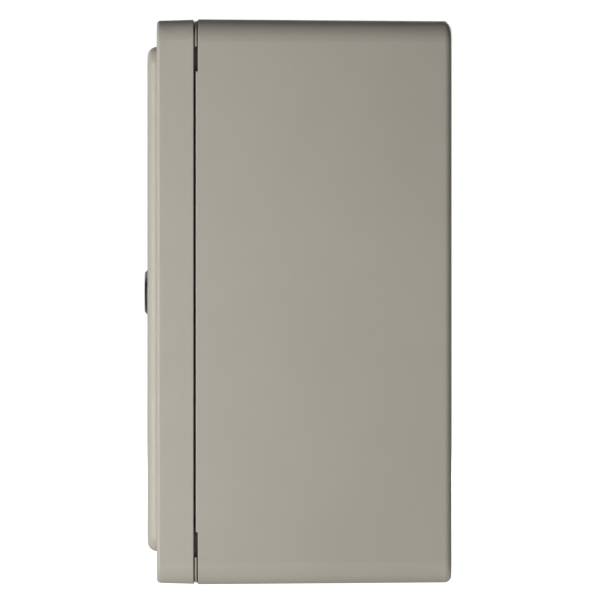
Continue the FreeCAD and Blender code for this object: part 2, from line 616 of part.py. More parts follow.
def dial():
    spot = ("dial_x", "dial_up")
    back = "module_front + dial_gap"
    grip_height = "dial_front - module_front - dial_gap - dial_skirt_thick"
    skirt = cone("dial_skirt", spot[0], back, spot[1], "dial_skirt_radius",
                 "dial_skirt_radius - dial_taper", "dial_skirt_thick")
    grip = cone("dial_grip", spot[0], f"{back} + dial_skirt_thick", spot[1], "dial_grip_radius",
                "dial_grip_radius - dial_taper", grip_height)
    pointer = block("dial_pointer", spot[0], f"{back} + dial_skirt_thick",
                    "dial_up + pointer_middle", "pointer_width", "pointer_thick",
                    "pointer_length")
    tools = [rod("dial_bore", spot[0], back, spot[1], "shaft_radius",
                 "shaft_front - module_front - dial_gap")]
    reach = "(dial_grip_radius + flute_radius / 2)"
    for i in range(SIZES["flute_count"]):
        turn = f"360 / flute_count * ({i} + 1 / 2)"
        tools.append(rod(f"dial_flute_{i}", f"dial_x + {reach} * sin({turn})",
                         f"{back} + dial_skirt_thick", f"dial_up + {reach} * cos({turn})",
                         "flute_radius", grip_height))
    knob = cut("dial_knob", fuse("dial_solid", skirt, grip, pointer), *tools)

    shaft = rod("dial_shaft", spot[0], "encoder_front", spot[1], "shaft_radius",
                "shaft_front - encoder_front")
    base = block("encoder_base", spot[0], "board_back + board_thick", spot[1], "encoder_width",
                 "encoder_front - board_back - board_thick", "encoder_width")
    bush = rod("encoder_bush", spot[0], "encoder_front", spot[1], "encoder_bush_radius",
               "encoder_bush_front - encoder_front")
    bore = rod("encoder_bore", spot[0], "encoder_front", spot[1], "shaft_radius + shaft_fit",
               "encoder_bush_front - encoder_front")
    return [knob, shaft, cut("dial_encoder", fuse("encoder_solid", base, bush), bore)]


BUTTON_NAMES = ["button_back", "button_down", "button_next", "button_run", "button_up",
                "button_program"]


def buttons():
    caps = []
    switches = []
    for name, (x, up) in zip(BUTTON_NAMES, button_spots()):
        stem = rod(f"{name}_stem", x, "button_back", up, "button_radius",
                   "button_front - button_back")
        flange = rod(f"{name}_flange", x, "button_back", up, "button_flange_radius",
                     "button_flange_thick")
        dish = new("Part::Sphere", f"{name}_dish")
        bind(dish, Radius="button_dish")
        place(dish, x, "button_front + button_dish - button_dish_depth", up)
        caps.append(cut(f"{name}_key", fuse(f"{name}_solid", stem, flange), dish))
        switches.append(block(f"{name}_switch", x, "board_back + board_thick", up, "tact_width",
                              "tact_front - board_back - board_thick", "tact_width"))
        switches.append(rod(f"{name}_plunger", x, "tact_front", up, "tact_plunger_radius",
                            "tact_plunger_front - tact_front"))
    for name, cap in zip(BUTTON_NAMES, caps):
        cap.Label = name
    return caps + [fuse("key_switches", *switches)]


def bypass_switch():
    x = "switch_x + slider_offset"
    base = block("switch_base", "switch_x", "board_back + board_thick", "switch_up",
                 "switch_body_width", "switch_body_front - board_back - board_thick",
                 "switch_body_height")
    carriage = block("slider_carriage_plate", x, "switch_body_front", "switch_up",
                     "slider_carriage", "carriage_thick", "slider_stem")
    stem = block("slider_stem_bar", x, "switch_body_front", "switch_up", "slider_stem",
                 "slider_cap_back - switch_body_front", "slider_stem")
    cap = block("slider_cap", x, "slider_cap_back", "switch_up", "slider_cap_width",
                "slider_front - slider_cap_back", "slider_cap_height")
    base.Label = "bypass_switch_body"
    return [base, fuse("bypass_slider", carriage, stem, cap)]


def battery():
    low = "module_up - module_height / 2"
    plate = block("tray_plate", "tray_x", "tray_back", f"{low} - lip_gap + tray_height / 2",
                  "tray_width", "tray_thick", "tray_height")
    lip = block("tray_lip_bar", "tray_x", "tray_back - lip_overhang",
                f"{low} - lip_gap - tray_lip / 2", "tray_width + 2 * lip_overhang",
                "tray_thick + 2 * lip_overhang", "tray_lip")
    cell_up = f"{low} + cell_rise"
    well = rod("tray_well", "tray_x", "tray_back + tray_thick - cell_thick - cell_gap * 2", cell_up,
               "cell_radius + cell_gap", "cell_thick + cell_gap * 2")
    cell = rod("coin_cell", "tray_x", "tray_back + tray_thick - cell_thick - cell_gap", cell_up,
               "cell_radius", "cell_thick")
    holder_up = f"{low} + module_wall + holder_height / 2 + holder_gap"
    holder = block("holder_solid", "tray_x", "holder_back", holder_up, "holder_width",
                   "board_back - holder_back", "holder_height")
    slot = block("holder_slot", "tray_x", "tray_back - tray_gap", holder_up,
                 "tray_width + 2 * tray_gap", "tray_thick + 2 * tray_gap",
                 "holder_height + 2 * cut_margin")
    return [cut("battery_tray", fuse("tray_solid", plate, lip), well), cell,
            cut("battery_holder", holder, slot)]


def board_parts():
    """The processor and the capacitors on the back of the control board, and the lamp."""
    chip = block("processor_chip", "chip_x", "board_back - chip_thick", "chip_up", "chip_width",
                 "chip_thick", "chip_width")
    cans = [rod(f"capacitor_{i}", f"can_x + {i} * can_pitch", "board_back - can_length", "can_up",
                "can_radius", "can_length")
            for i in range(2)]
    lamp = rod("status_lamp", "lamp_x", "board_back + board_thick", "lamp_up", "lamp_radius",
               "lamp_front - board_back - board_thick")
    chip.Label = "processor"
    return [chip, fuse("capacitors", *cans), lamp]


# ---------- wiring bay ----------

def terminal_strip():
    board_front = "strip_back + board_thick"
    plate = block("strip_plate", "strip_x", "strip_back", "strip_up", "strip_width", "board_thick",
                  "strip_height")
    spots = both_ways("strip_post_x", "strip_post_up", "strip_x", "strip_up")
    holes = [rod(f"strip_hole_{i}", x, "strip_back", up, "screw_radius", "board_thick")
             for i, (x, up) in enumerate(spots)]
    solid = block("terminal_solid", "strip_x", board_front, "block_up", "block_width",
                  "block_thick", "block_height")
    wells = []
    fixings = []
    for i in range(SIZES["terminal_count"]):
        x = f"strip_x + ({i} - (terminal_count - 1) / 2) * terminal_pitch"
        front = f"{board_front} + block_thick"
        wells.append(rod(f"terminal_well_{i}", x, f"{front} - terminal_well_depth", "block_up",
                         "terminal_well_radius", "terminal_well_depth"))
        wells.append(block(f"terminal_entry_{i}", x, f"{board_front} + terminal_entry_rise",
                           "block_up - block_height / 2 + terminal_entry_depth / 2 - cut_margin",
                           "terminal_entry", "terminal_entry", "terminal_entry_depth"))
        fixings.append(rod(f"terminal_screw_{i}", x, f"{front} - terminal_well_depth", "block_up",
                           "terminal_screw_radius", "terminal_screw_thick"))
    triacs = [block(f"triac_{i}", f"triac_x + {i} * triac_pitch", board_front, "triac_up",
                    "triac_width", "triac_thick", "triac_height")
              for i in range(SIZES["triac_count"])]
    return [cut("terminal_board", plate, *holes), cut("terminal_block", solid, *wells),
            fuse("terminal_screws", *fixings), fuse("triacs", *triacs),
            screws("terminal_board_screws", [(x, board_front, up) for x, up in spots])]


def fuse_link():
    board_front = "strip_back + board_thick"
    left = "fuse_x - fuse_length / 2"
    glass = rod("fuse_glass", f"{left} + fuse_cap_length", "fuse_forward", "fuse_up", "fuse_radius",
                "fuse_length - 2 * fuse_cap_length", RIGHT)
    caps = []
    clips = []
    for i, start in enumerate([left, f"{left} + fuse_length - fuse_cap_length"]):
        caps.append(rod(f"fuse_cap_{i}", start, "fuse_forward", "fuse_up", "fuse_radius",
                        "fuse_cap_length", RIGHT))
        clips.append(block(f"fuse_foot_{i}", f"{start} + fuse_cap_length / 2", board_front,
                           "fuse_up", "fuse_cap_length", f"fuse_forward - ({board_front})",
                           "fuse_clip_width"))
    link = fuse("fuse_link", glass, *caps)
    gap = rod("fuse_gap", left, "fuse_forward", "fuse_up", "fuse_radius", "fuse_length", RIGHT)
    return [link, cut("fuse_clips", fuse("fuse_feet", *clips), gap)]


def ribbon():
    board_front = "strip_back + board_thick"
    lower = block("ribbon_plug_lower", "ribbon_x", board_front, "ribbon_up", "plug_width",
                  "plug_thick", "plug_height")
    upper = block("ribbon_plug_upper", "ribbon_x", "board_back - plug_thick", "header_up",
                  "plug_width", "plug_thick", "plug_height")
    start = f"{board_front} + plug_thick"
    runs = [block("ribbon_out", "ribbon_x", start, "ribbon_up", "ribbon_width",
                  f"ribbon_forward + ribbon_thick - ({start})", "ribbon_thick"),
            block("ribbon_rise", "ribbon_x", "ribbon_forward", "(ribbon_up + header_up) / 2",
                  "ribbon_width", "ribbon_thick", "header_up - ribbon_up + ribbon_thick"),
            block("ribbon_in", "ribbon_x", "ribbon_forward", "header_up", "ribbon_width",
                  "board_back - plug_thick - ribbon_forward", "ribbon_thick")]
    return [fuse("ribbon_plugs", lower, upper), fuse("ribbon_cable", *runs)]


def conduit_plug():
    inside = "-case_height / 2 + case_wall + case_draft"
    stem = rod("plug_stem", "spare_conduit_x", "conduit_forward", "-case_height / 2 + cut_margin",
               "mains_conduit_radius", "case_wall + case_draft - cut_margin", UPRIGHT)
    lip = rod("plug_lip_disc", "spare_conduit_x", "conduit_forward", inside,
              "mains_conduit_radius + plug_lip", "plug_lip_thick", UPRIGHT)
    return fuse("conduit_plug", stem, lip)


# ---------- mains compartment ----------

def mains_box():
    middle = "mains_low + mains_height / 2"
    solid = block("mains_solid", "mains_x", "case_wall", middle, "mains_width",
                  "mains_front - case_wall", "mains_height")
    hollow = block("mains_hollow", "mains_x", "case_wall + mains_wall", middle,
                   "mains_width - 2 * mains_wall", "mains_front - case_wall - mains_wall",
                   "mains_height - 2 * mains_wall")
    posts = []
    holes = []
    spots = [("mains_x - mains_width / 2 + mains_wall + cover_post - post_sink",
              "mains_low + mains_wall + cover_post - post_sink"),
             ("mains_x + mains_width / 2 - mains_wall - cover_post + post_sink",
              "mains_low + mains_height - mains_wall - cover_post + post_sink")]
    for i, (x, up) in enumerate(spots):
        posts.append(rod(f"cover_post_{i}", x, "case_wall + mains_wall / 2", up, "cover_post",
                         "mains_front - case_wall - mains_wall / 2"))
        holes.append(rod(f"cover_post_hole_{i}", x, "mains_front + cover_thick - screw_length", up,
                         "screw_radius", "screw_length"))
    holes.append(rod("mains_floor_hole", "mains_x", "conduit_forward", "mains_low - cut_margin",
                     "mains_conduit_radius", "mains_wall + 2 * cut_margin", UPRIGHT))
    for i, sign in enumerate("-+"):
        holes.append(rod(f"mains_foot_hole_{i}",
                         f"mains_x {sign} (core_width / 2 + bracket_thick + bracket_foot / 2)",
                         "case_wall", "core_up", "screw_radius", "mains_wall"))
    shell = cut("mains_shell", solid, hollow)
    box = cut("mains_box", fuse("mains_posted", shell, *posts), *holes)
    plate = block("cover_plate", "mains_x", "mains_front", middle, "mains_width", "cover_thick",
                  "mains_height")
    cover_holes = [rod(f"cover_hole_{i}", x, "mains_front", up, "screw_radius", "cover_thick")
                   for i, (x, up) in enumerate(spots)]
    return [box, cut("mains_cover", plate, *cover_holes),
            screws("mains_cover_screws",
                   [(x, "mains_front + cover_thick", up) for x, up in spots])]


def transformer():
    spot = ("mains_x", "core_up")
    window = "(coil_width - core_leg) / 2"
    plates = block("core_plates", spot[0], "core_back", spot[1], "core_width", "core_thick",
                   "core_height")
    gaps = [block(f"core_gap_{i}", f"mains_x {sign} (core_leg / 2 + {window} / 2)", "core_back",
                  spot[1], window, "core_thick", "coil_height") for i, sign in enumerate("-+")]
    winding = block("coil_solid", spot[0], "coil_back", spot[1], "coil_width", "coil_thick",
                    "coil_height")
    leg = block("coil_leg", spot[0], "core_back", spot[1], "core_leg", "core_thick", "coil_height")
    floor = "case_wall + mains_wall"
    bracket = []
    bracket_holes = []
    for i, sign in enumerate("-+"):
        side = f"mains_x {sign} (core_width / 2 + bracket_thick / 2)"
        foot = f"mains_x {sign} (core_width / 2 + bracket_thick + bracket_foot / 2)"
        bracket.append(block(f"bracket_side_{i}", side, floor, spot[1], "bracket_thick",
                             f"core_back + core_thick - ({floor})", "bracket_height"))
        bracket.append(block(f"bracket_foot_{i}", foot, floor, spot[1], "bracket_foot",
                             "bracket_thick", "bracket_height"))
        bracket_holes.append(rod(f"bracket_hole_{i}", foot, floor, spot[1], "screw_radius",
                                 "bracket_thick"))
    leads = [rod(f"lead_{i}", f"mains_x + {i - 1} * lead_pitch", "lead_forward",
                 "mains_block_up + mains_block_height / 2", "lead_radius",
                 "core_up - core_height / 2 - mains_block_up - mains_block_height / 2", UPRIGHT)
             for i in range(3)]
    shelf = block("mains_block", spot[0], "mains_block_back", "mains_block_up",
                  "mains_block_width", "mains_block_thick", "mains_block_height")
    shelf.Label = "mains_terminal"
    fixing = [(f"mains_x {sign} (core_width / 2 + bracket_thick + bracket_foot / 2)",
               f"{floor} + bracket_thick", spot[1]) for sign in "-+"]
    return [cut("transformer_core", plates, *gaps), cut("transformer_coil", winding, leg),
            cut("transformer_bracket", fuse("bracket_solid", *bracket), *bracket_holes),
            screws("transformer_screws", fixing, head="bracket_screw_head",
                   length="mains_wall + bracket_thick"),
            fuse("transformer_leads", *leads), shelf]


parts = [rear_case(), hinge_pins(), strike(), door_shell(), door_gasket(), *lock(),
         *instruction_card(), module_housing(), *module_fittings(), control_board(), *display(),
         *dial(), *buttons(), *bypass_switch(), *battery(), *board_parts(), *terminal_strip(),
         *fuse_link(), *ribbon(), conduit_plug(), *mains_box(), *transformer()]
document.recompute()

for item in document.Objects:
    if "Invalid" in item.State or "Error" in item.State:
        raise RuntimeError(f"{item.Label} is {item.State}")
os.makedirs("parts", exist_ok=True)
for part in parts:
    if part.Shape.isNull() or not part.Shape.isValid() or not part.Shape.Solids:
        raise RuntimeError(f"{part.Label} has no valid solid")
    part.Shape.exportStep(os.path.join("parts", f"{part.Label}.step"))
print(f"{len(parts)} sub-parts written")
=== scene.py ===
"""Looks of the wall-mounted irrigation controller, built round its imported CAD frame.

Metres, +Z up, the door faces -Y and the wall is at y = 0.
"""
import json
import math
from types import SimpleNamespace

import bmesh
import bpy
from mathutils import Matrix, Vector

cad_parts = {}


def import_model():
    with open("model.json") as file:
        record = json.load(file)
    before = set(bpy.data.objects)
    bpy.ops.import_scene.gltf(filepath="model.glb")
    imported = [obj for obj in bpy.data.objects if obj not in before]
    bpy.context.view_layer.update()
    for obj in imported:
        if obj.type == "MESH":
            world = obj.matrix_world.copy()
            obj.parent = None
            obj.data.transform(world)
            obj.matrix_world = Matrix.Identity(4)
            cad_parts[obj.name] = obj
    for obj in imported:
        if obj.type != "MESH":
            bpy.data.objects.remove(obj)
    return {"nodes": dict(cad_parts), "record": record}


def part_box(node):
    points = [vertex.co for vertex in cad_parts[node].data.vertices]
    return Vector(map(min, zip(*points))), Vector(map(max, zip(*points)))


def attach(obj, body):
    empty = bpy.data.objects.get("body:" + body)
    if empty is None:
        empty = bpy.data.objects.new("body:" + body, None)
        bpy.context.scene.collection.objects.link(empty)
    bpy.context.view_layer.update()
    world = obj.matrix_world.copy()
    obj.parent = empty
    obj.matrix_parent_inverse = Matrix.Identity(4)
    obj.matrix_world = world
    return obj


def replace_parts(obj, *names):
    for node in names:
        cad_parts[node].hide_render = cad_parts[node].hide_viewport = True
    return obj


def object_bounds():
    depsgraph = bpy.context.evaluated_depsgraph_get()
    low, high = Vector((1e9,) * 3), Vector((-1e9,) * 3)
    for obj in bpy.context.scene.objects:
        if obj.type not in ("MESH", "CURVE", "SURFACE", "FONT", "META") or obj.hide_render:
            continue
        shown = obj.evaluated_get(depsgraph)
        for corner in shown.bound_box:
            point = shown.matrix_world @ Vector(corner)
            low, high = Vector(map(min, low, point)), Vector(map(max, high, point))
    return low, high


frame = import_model()
CAD_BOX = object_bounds()
NODES = frame["nodes"]
MM = 0.001


# ---------- shader helpers ----------

class Surface:
    """A Principled material with a node tree that is filled in step by step."""

    def __init__(self, name, roughness, metallic=0.0):
        self.material = bpy.data.materials.new(name)
        self.material.use_nodes = True
        self.tree = self.material.node_tree
        self.shader = self.tree.nodes["Principled BSDF"]
        self.shader.inputs["Roughness"].default_value = roughness
        self.shader.inputs["Metallic"].default_value = metallic
        self.place = self.tree.nodes.new("ShaderNodeTexCoord").outputs["Object"]
        self.normal = None

    def node(self, kind, **values):
        """Add a node; each value names one of its properties or one of its inputs."""
        made = self.tree.nodes.new(f"ShaderNode{kind}")
        for key, value in values.items():
            if hasattr(made, key):
                setattr(made, key, value)
            else:
                made.inputs[key.replace("_", " ")].default_value = value
        return made

    def link(self, source, target):
        self.tree.links.new(source, target)

    def stretched(self, scale):
        """The object's coordinates, scaled by its own amount along each axis."""
        mapping = self.node("Mapping")
        mapping.inputs["Scale"].default_value = scale
        self.link(self.place, mapping.inputs["Vector"])
        return mapping.outputs["Vector"]

    def noise(self, scale, detail=3.0, roughness=0.55, stretch=None):
        """Cloudy noise from 0 to 1, its scale in cycles per metre."""
        made = self.node("TexNoise", Scale=scale, Detail=detail, Roughness=roughness)
        self.link(self.stretched(stretch) if stretch else self.place, made.inputs["Vector"])
        return made.outputs["Fac"]

    def spread(self, source, low, high, to_low, to_high):
        """Map the source's values from low to high onto to_low to to_high, and clamp them."""
        made = self.node("MapRange")
        for socket, value in zip(("From Min", "From Max", "To Min", "To Max"),
                                 (low, high, to_low, to_high)):
            made.inputs[socket].default_value = value
        self.link(source, made.inputs["Value"])
        return made.outputs["Result"]

    def mix(self, factor, first, second):
        """Mix two colours, each a tuple or a socket."""
        made = self.node("Mix", data_type="RGBA")
        self.link(factor, made.inputs["Factor"])
        for socket, value in ((made.inputs[6], first), (made.inputs[7], second)):
            if isinstance(value, tuple):
                socket.default_value = (*value, 1.0)
            else:
                self.link(value, socket)
        return made.outputs[2]

    def colour(self, source):
        self.link(source, self.shader.inputs["Base Color"])

    def rough(self, source):
        self.link(source, self.shader.inputs["Roughness"])

    def bump(self, source, depth):
        """Add relief of about the given depth, in metres, on top of any there already."""
        made = self.node("Bump", Distance=depth, Strength=1.0)
        self.link(source, made.inputs["Height"])
        if self.normal is not None:
            self.link(self.normal, made.inputs["Normal"])
        self.normal = made.outputs["Normal"]
        self.link(self.normal, self.shader.inputs["Normal"])

    def edge_mask(self, radius):
        """About 1 on sharp convex and concave edges and 0 on flat faces."""
        soft = self.node("Bevel", samples=4)
        soft.inputs["Radius"].default_value = radius
        flat = self.node("NewGeometry")
        dot = self.node("VectorMath", operation="DOT_PRODUCT")
        self.link(soft.outputs["Normal"], dot.inputs[0])
        self.link(flat.outputs["Normal"], dot.inputs[1])
        nearly_flat, sharp = 0.995, 0.8
        return self.spread(dot.outputs["Value"], nearly_flat, sharp, 0.0, 1.0)

    def crevices(self, reach):
        """1 in the open and near 0 deep in narrow gaps; it marks where painted shade goes."""
        made = self.node("AmbientOcclusion", samples=6, Distance=reach)
        shut, open_enough = 0.08, 0.5
        return self.spread(made.outputs["AO"], shut, open_enough, 0, 1)

    def soften(self, radius):
        """Round sharp edges in the shading."""
        soft = self.node("Bevel", samples=6)
        soft.inputs["Radius"].default_value = radius
        self.normal = soft.outputs["Normal"]
        self.link(self.normal, self.shader.inputs["Normal"])


def shade(colour, factor):
    """The colour made darker or lighter."""
    return tuple(min(1.0, c * factor) for c in colour)


# Each material below fades an effect in between two noise values, which are spread's first two
# numbers; its last two are how weak and how strong the effect is.

def moulded(name, colour, roughness=0.45, grain=0.012 * MM, grain_scale=2600, cloud=0.05,
            edge=0.5 * MM, wear_and_highlight=0.35, painted_gap_shade=False):
    """Moulded plastic: cloudy colour, fine speckle, spark-eroded grain, edges lightened partly by
    wear and partly as a painted highlight, and optional painted shade in narrow gaps.
    """
    made = Surface(name, roughness)
    cloudy = made.noise(14, 4)
    base = made.mix(made.spread(cloudy, 0.3, 0.7, 0, 1), shade(colour, 1 - cloud),
                    shade(colour, 1 + cloud))
    speckle = made.spread(made.noise(1500, 2), 0.62, 0.74, 0, 0.35)
    base = made.mix(speckle, base, shade(colour, 0.82))
    # Edges are painted lighter in patches: partly rubbed wear, partly a painted highlight where
    # light catches the edges.
    wear_and_highlight_mask = made.node("Math", operation="MULTIPLY")
    made.link(made.edge_mask(edge), wear_and_highlight_mask.inputs[0])
    made.link(made.spread(made.noise(160, 5), 0.42, 0.62, 0, wear_and_highlight), wear_and_highlight_mask.inputs[1])
    base = made.mix(wear_and_highlight_mask.outputs[0], base, shade(colour, 1.35))
    # Painted shade: deep in narrow gaps, such as the gap round the door, the colour goes almost
    # black.
    if painted_gap_shade:
        base = made.mix(made.crevices(3.5 * MM), shade(colour, 0.06), base)
    made.colour(base)
    made.rough(made.spread(made.noise(90, 4), 0.3, 0.7, roughness - 0.06, roughness + 0.07))
    made.soften(edge)
    made.bump(made.noise(grain_scale, 3, 0.6), grain)
    return made.material


def metal(name, colour, roughness=0.32, stretch=(1, 1, 1), edge=0.25 * MM):
    """Plated or brushed metal with streaks, dulled patches and edges painted brighter as a
    highlight.
    """
    made = Surface(name, roughness, 1.0)
    streaks = made.noise(900, 3, 0.6, stretch)
    dull = made.spread(made.noise(120, 4), 0.35, 0.7, 0, 1)
    base = made.mix(dull, colour, shade(colour, 0.72))
    # Painted highlight: a band along sharp edges is made brighter.
    base = made.mix(made.edge_mask(edge), base, shade(colour, 1.3))
    made.colour(base)
    made.rough(made.spread(streaks, 0.3, 0.7, roughness - 0.1, roughness + 0.16))
    made.soften(edge)
    made.bump(streaks, 0.006 * MM)
    return made.material


def foam(name, colour):
    """Closed-cell foam: small round pores."""
    made = Surface(name, 0.85)
    cells = made.node("TexVoronoi", Scale=1400.0)
    made.link(made.place, cells.inputs["Vector"])
    pores = made.spread(cells.outputs["Distance"], 0.1, 0.6, 0, 1)
    made.colour(made.mix(pores, shade(colour, 0.5), shade(colour, 1.5)))
    made.soften(0.6 * MM)
    made.bump(pores, 0.12 * MM)
    return made.material


def rubber(name, colour):
    """Matt silicone or rubber with a bloom of handling dirt."""
    made = Surface(name, 0.62)
    made.shader.inputs["Sheen Weight"].default_value = 0.25
    made.shader.inputs["Sheen Roughness"].default_value = 0.4
    smudge = made.spread(made.noise(300, 5), 0.45, 0.7, 0, 0.6)
    made.colour(made.mix(smudge, colour, shade(colour, 0.72)))
    made.rough(made.spread(made.noise(500, 3), 0.3, 0.7, 0.5, 0.75))
    made.soften(0.4 * MM)
    made.bump(made.noise(2500, 2), 0.01 * MM)
    return made.material


def clear(name, colour, roughness=0.06, amount=0.92):
    """Clear plastic or glass with faint scratches."""
    made = Surface(name, roughness)
    made.shader.inputs["IOR"].default_value = 1.46
    made.shader.inputs["Transmission Weight"].default_value = amount
    haze = made.spread(made.noise(60, 5), 0.5, 0.75, 0, 1)
    made.colour(made.mix(haze, colour, shade(colour, 0.93)))
    scratches = made.noise(500, 6, 0.7, (1, 1, 0.08))
    made.rough(made.spread(scratches, 0.5, 0.8, roughness, roughness + 0.14))
    made.bump(scratches, 0.002 * MM)
    return made.material


def circuit_board(name, colour):
    """Solder mask over copper tracks, which show as slightly lighter raised lines."""
    made = Surface(name, 0.3)
    tracks = made.node("TexBrick", Scale=170.0, offset=0.35, squash=1.7, squash_frequency=3)
    tracks.inputs["Mortar Size"].default_value = 0.045
    tracks.inputs["Brick Width"].default_value = 1.3
    tracks.inputs["Row Height"].default_value = 0.34
    turn = made.node("Mapping")    # lays the brick pattern's plane onto the upright board
    turn.inputs["Rotation"].default_value = (math.radians(90), 0, 0)
    made.link(made.place, turn.inputs["Vector"])
    made.link(turn.outputs["Vector"], tracks.inputs["Vector"])
    copper = tracks.outputs["Fac"]
    patches = made.spread(made.noise(45, 2), 0.5, 0.56, 0, 1)
    base = made.mix(copper, colour, shade(colour, 1.7))
    base = made.mix(patches, base, shade(colour, 1.25))
    made.colour(base)
    made.rough(made.spread(made.noise(400, 3), 0.3, 0.7, 0.22, 0.4))
    made.bump(copper, 0.03 * MM)
    return made.material


def laminated(name, colour):
    """A stack of varnished iron plates: fine lines along the stack."""
    made = Surface(name, 0.42, 0.7)
    wave = made.node("TexWave", wave_type="BANDS", bands_direction="Y", Scale=320.0,
                     Distortion=0.4, Detail=1.0)
    made.link(made.place, wave.inputs["Vector"])
    lines = wave.outputs["Fac"]
    rust = made.spread(made.noise(140, 5), 0.55, 0.72, 0, 0.7)
    base = made.mix(lines, shade(colour, 0.55), shade(colour, 1.5))
    made.colour(made.mix(rust, base, (0.13, 0.06, 0.03)))
    made.bump(lines, 0.12 * MM)
    return made.material


def wound(name, colour):
    """Layers of enamelled wire, wound round the vertical leg."""
    made = Surface(name, 0.3, 0.85)
    wave = made.node("TexWave", wave_type="BANDS", bands_direction="Z", Scale=420.0,
                     Distortion=0.25, Detail=1.0)
    made.link(made.place, wave.inputs["Vector"])
    made.colour(made.mix(wave.outputs["Fac"], shade(colour, 0.35), shade(colour, 1.35)))
    made.bump(wave.outputs["Fac"], 0.25 * MM)
    return made.material


def cable_skin(name, colour):
    """Soft cable insulation with faint lengthwise flow marks."""
    made = Surface(name, 0.5)
    marks = made.noise(600, 4, 0.6, (1, 1, 0.06))
    made.colour(made.mix(made.spread(marks, 0.35, 0.7, 0, 1), shade(colour, 0.82),
                         shade(colour, 1.1)))
    made.bump(marks, 0.02 * MM)
    return made.material


def paper(name, colour):
    """Laminated card with fibres under the film."""
    made = Surface(name, 0.28)
    made.shader.inputs["Coat Weight"].default_value = 0.4
    fibres = made.noise(700, 6, 0.7)
    made.colour(made.mix(made.spread(fibres, 0.3, 0.7, 0, 1), shade(colour, 0.95), colour))
    made.bump(fibres, 0.01 * MM)
    return made.material


def liquid_crystal(name, colour):
    """The reflective panel behind the segments, darker towards its edges."""
    made = Surface(name, 0.22)
    cloudy = made.spread(made.noise(25, 3), 0.3, 0.7, 0, 1)
    base = made.mix(cloudy, shade(colour, 0.94), shade(colour, 1.05))
    made.colour(made.mix(made.edge_mask(2 * MM), base, shade(colour, 0.7)))
    made.bump(made.noise(3000, 2), 0.003 * MM)
    return made.material


# ---------- materials ----------

# Colours are linear red, green and blue
CASE = (0.402, 0.379, 0.324)
MATERIALS = {
    # The case plastic gets painted shade in narrow gaps, and lighter edges that are partly wear and
    # partly painted highlight.
    "case_plastic": moulded("warm_grey_plastic", CASE, 0.46, grain=0.01 * MM, cloud=0.025,
                            edge=0.5 * MM, wear_and_highlight=0.25, painted_gap_shade=True),
    "lock_black": moulded("lock_black_enamel", (0.012, 0.012, 0.013), 0.34, cloud=0.2, wear_and_highlight=0.6),
    "plated_steel": metal("zinc_plated_steel", (0.56, 0.56, 0.54)),
    "gasket_foam": foam("black_foam", (0.02, 0.02, 0.021)),
    "module_plastic": moulded("dark_grey_plastic", (0.045, 0.05, 0.056), 0.5, cloud=0.08,
                              grain=0.02 * MM, grain_scale=1900),
    "trim_plastic": moulded("black_gloss_plastic", (0.012, 0.012, 0.014), 0.2,
                            grain=0.002 * MM),
    "dial_plastic": moulded("light_grey_plastic", (0.52, 0.51, 0.47), 0.38, wear_and_highlight=0.5),
    "key_rubber": rubber("light_grey_rubber", (0.36, 0.37, 0.38)),
    "window_clear": clear("clear_window", (0.97, 0.98, 0.98)),
    "display_grey": liquid_crystal("display_grey_green", (0.33, 0.38, 0.26)),
    "board_green": circuit_board("green_board", (0.01, 0.09, 0.035)),
    "part_black": moulded("black_component", (0.018, 0.018, 0.02), 0.48, cloud=0.1),
    "backlight_white": moulded("white_diffuser", (0.8, 0.8, 0.76), 0.5),
    "can_sleeve": moulded("dark_blue_sleeve", (0.012, 0.02, 0.09), 0.22, grain=0.003 * MM),
    "lamp_lens": clear("green_lens", (0.05, 0.55, 0.09), 0.12, 0.6),
    "terminal_green": moulded("green_terminal_plastic", (0.02, 0.24, 0.075), 0.42, wear_and_highlight=0.6),
    "fuse_glass": clear("fuse_tube", (0.95, 0.96, 0.95), 0.04),
    "contact_brass": metal("tinned_brass", (0.63, 0.47, 0.22), 0.28),
    "ribbon_grey": cable_skin("grey_ribbon", (0.4, 0.4, 0.39)),
    "mains_plastic": moulded("mid_grey_plastic", (0.13, 0.135, 0.14), 0.5, grain=0.02 * MM,
                             grain_scale=1900),
    "core_iron": laminated("varnished_iron", (0.06, 0.06, 0.065)),
    "coil_copper": wound("enamelled_copper", (0.48, 0.16, 0.045)),
    "lead_sleeve": rubber("red_insulation", (0.3, 0.02, 0.015)),
    "card_paper": paper("laminated_card", (0.78, 0.78, 0.73)),
    "holder_clear": clear("clear_strip", (0.93, 0.95, 0.95), 0.1),
}
INK = moulded("dark_ink", (0.02, 0.022, 0.025), 0.6, cloud=0.1, wear_and_highlight=0.0)
PALE_INK = moulded("pale_ink", (0.72, 0.72, 0.7), 0.55, cloud=0.04, wear_and_highlight=0.0)
SEGMENT = moulded("display_segment", (0.03, 0.035, 0.03), 0.3, grain=0.001 * MM, wear_and_highlight=0.0)
FAINT = moulded("unlit_segment", (0.26, 0.30, 0.205), 0.3, grain=0.001 * MM, wear_and_highlight=0.0)

# The record's material slot and body of each CAD node
SLOT_OF = {part["node"]: part["material_slot"] for part in frame["record"]["subparts"]}
BODY_OF = {node: body for body, nodes in frame["record"]["behaviour"]["bodies"].items()
           for node in nodes}
for name, slot in SLOT_OF.items():
    NODES[name].data.materials.clear()
    NODES[name].data.materials.append(MATERIALS[slot])


# ---------- piece helpers: millimetres, as x, forward (out from the wall) and up ----------

SMOOTH_ANGLE = 35    # degrees; sharper edges keep a crease in the shading


def spot(x, forward, up):
    """A place in Blender's metres."""
    return Vector((x, -forward, up)) * MM


def space(node):
    """A CAD node's box at rest, in millimetres."""
    low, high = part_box(node)
    return SimpleNamespace(
        left=low.x / MM, right=high.x / MM, back=-high.y / MM, front=-low.y / MM,
        low=low.z / MM, high=high.z / MM,
        x=(low.x + high.x) / 2 / MM, up=(low.z + high.z) / 2 / MM,
        width=(high.x - low.x) / MM, height=(high.z - low.z) / MM)


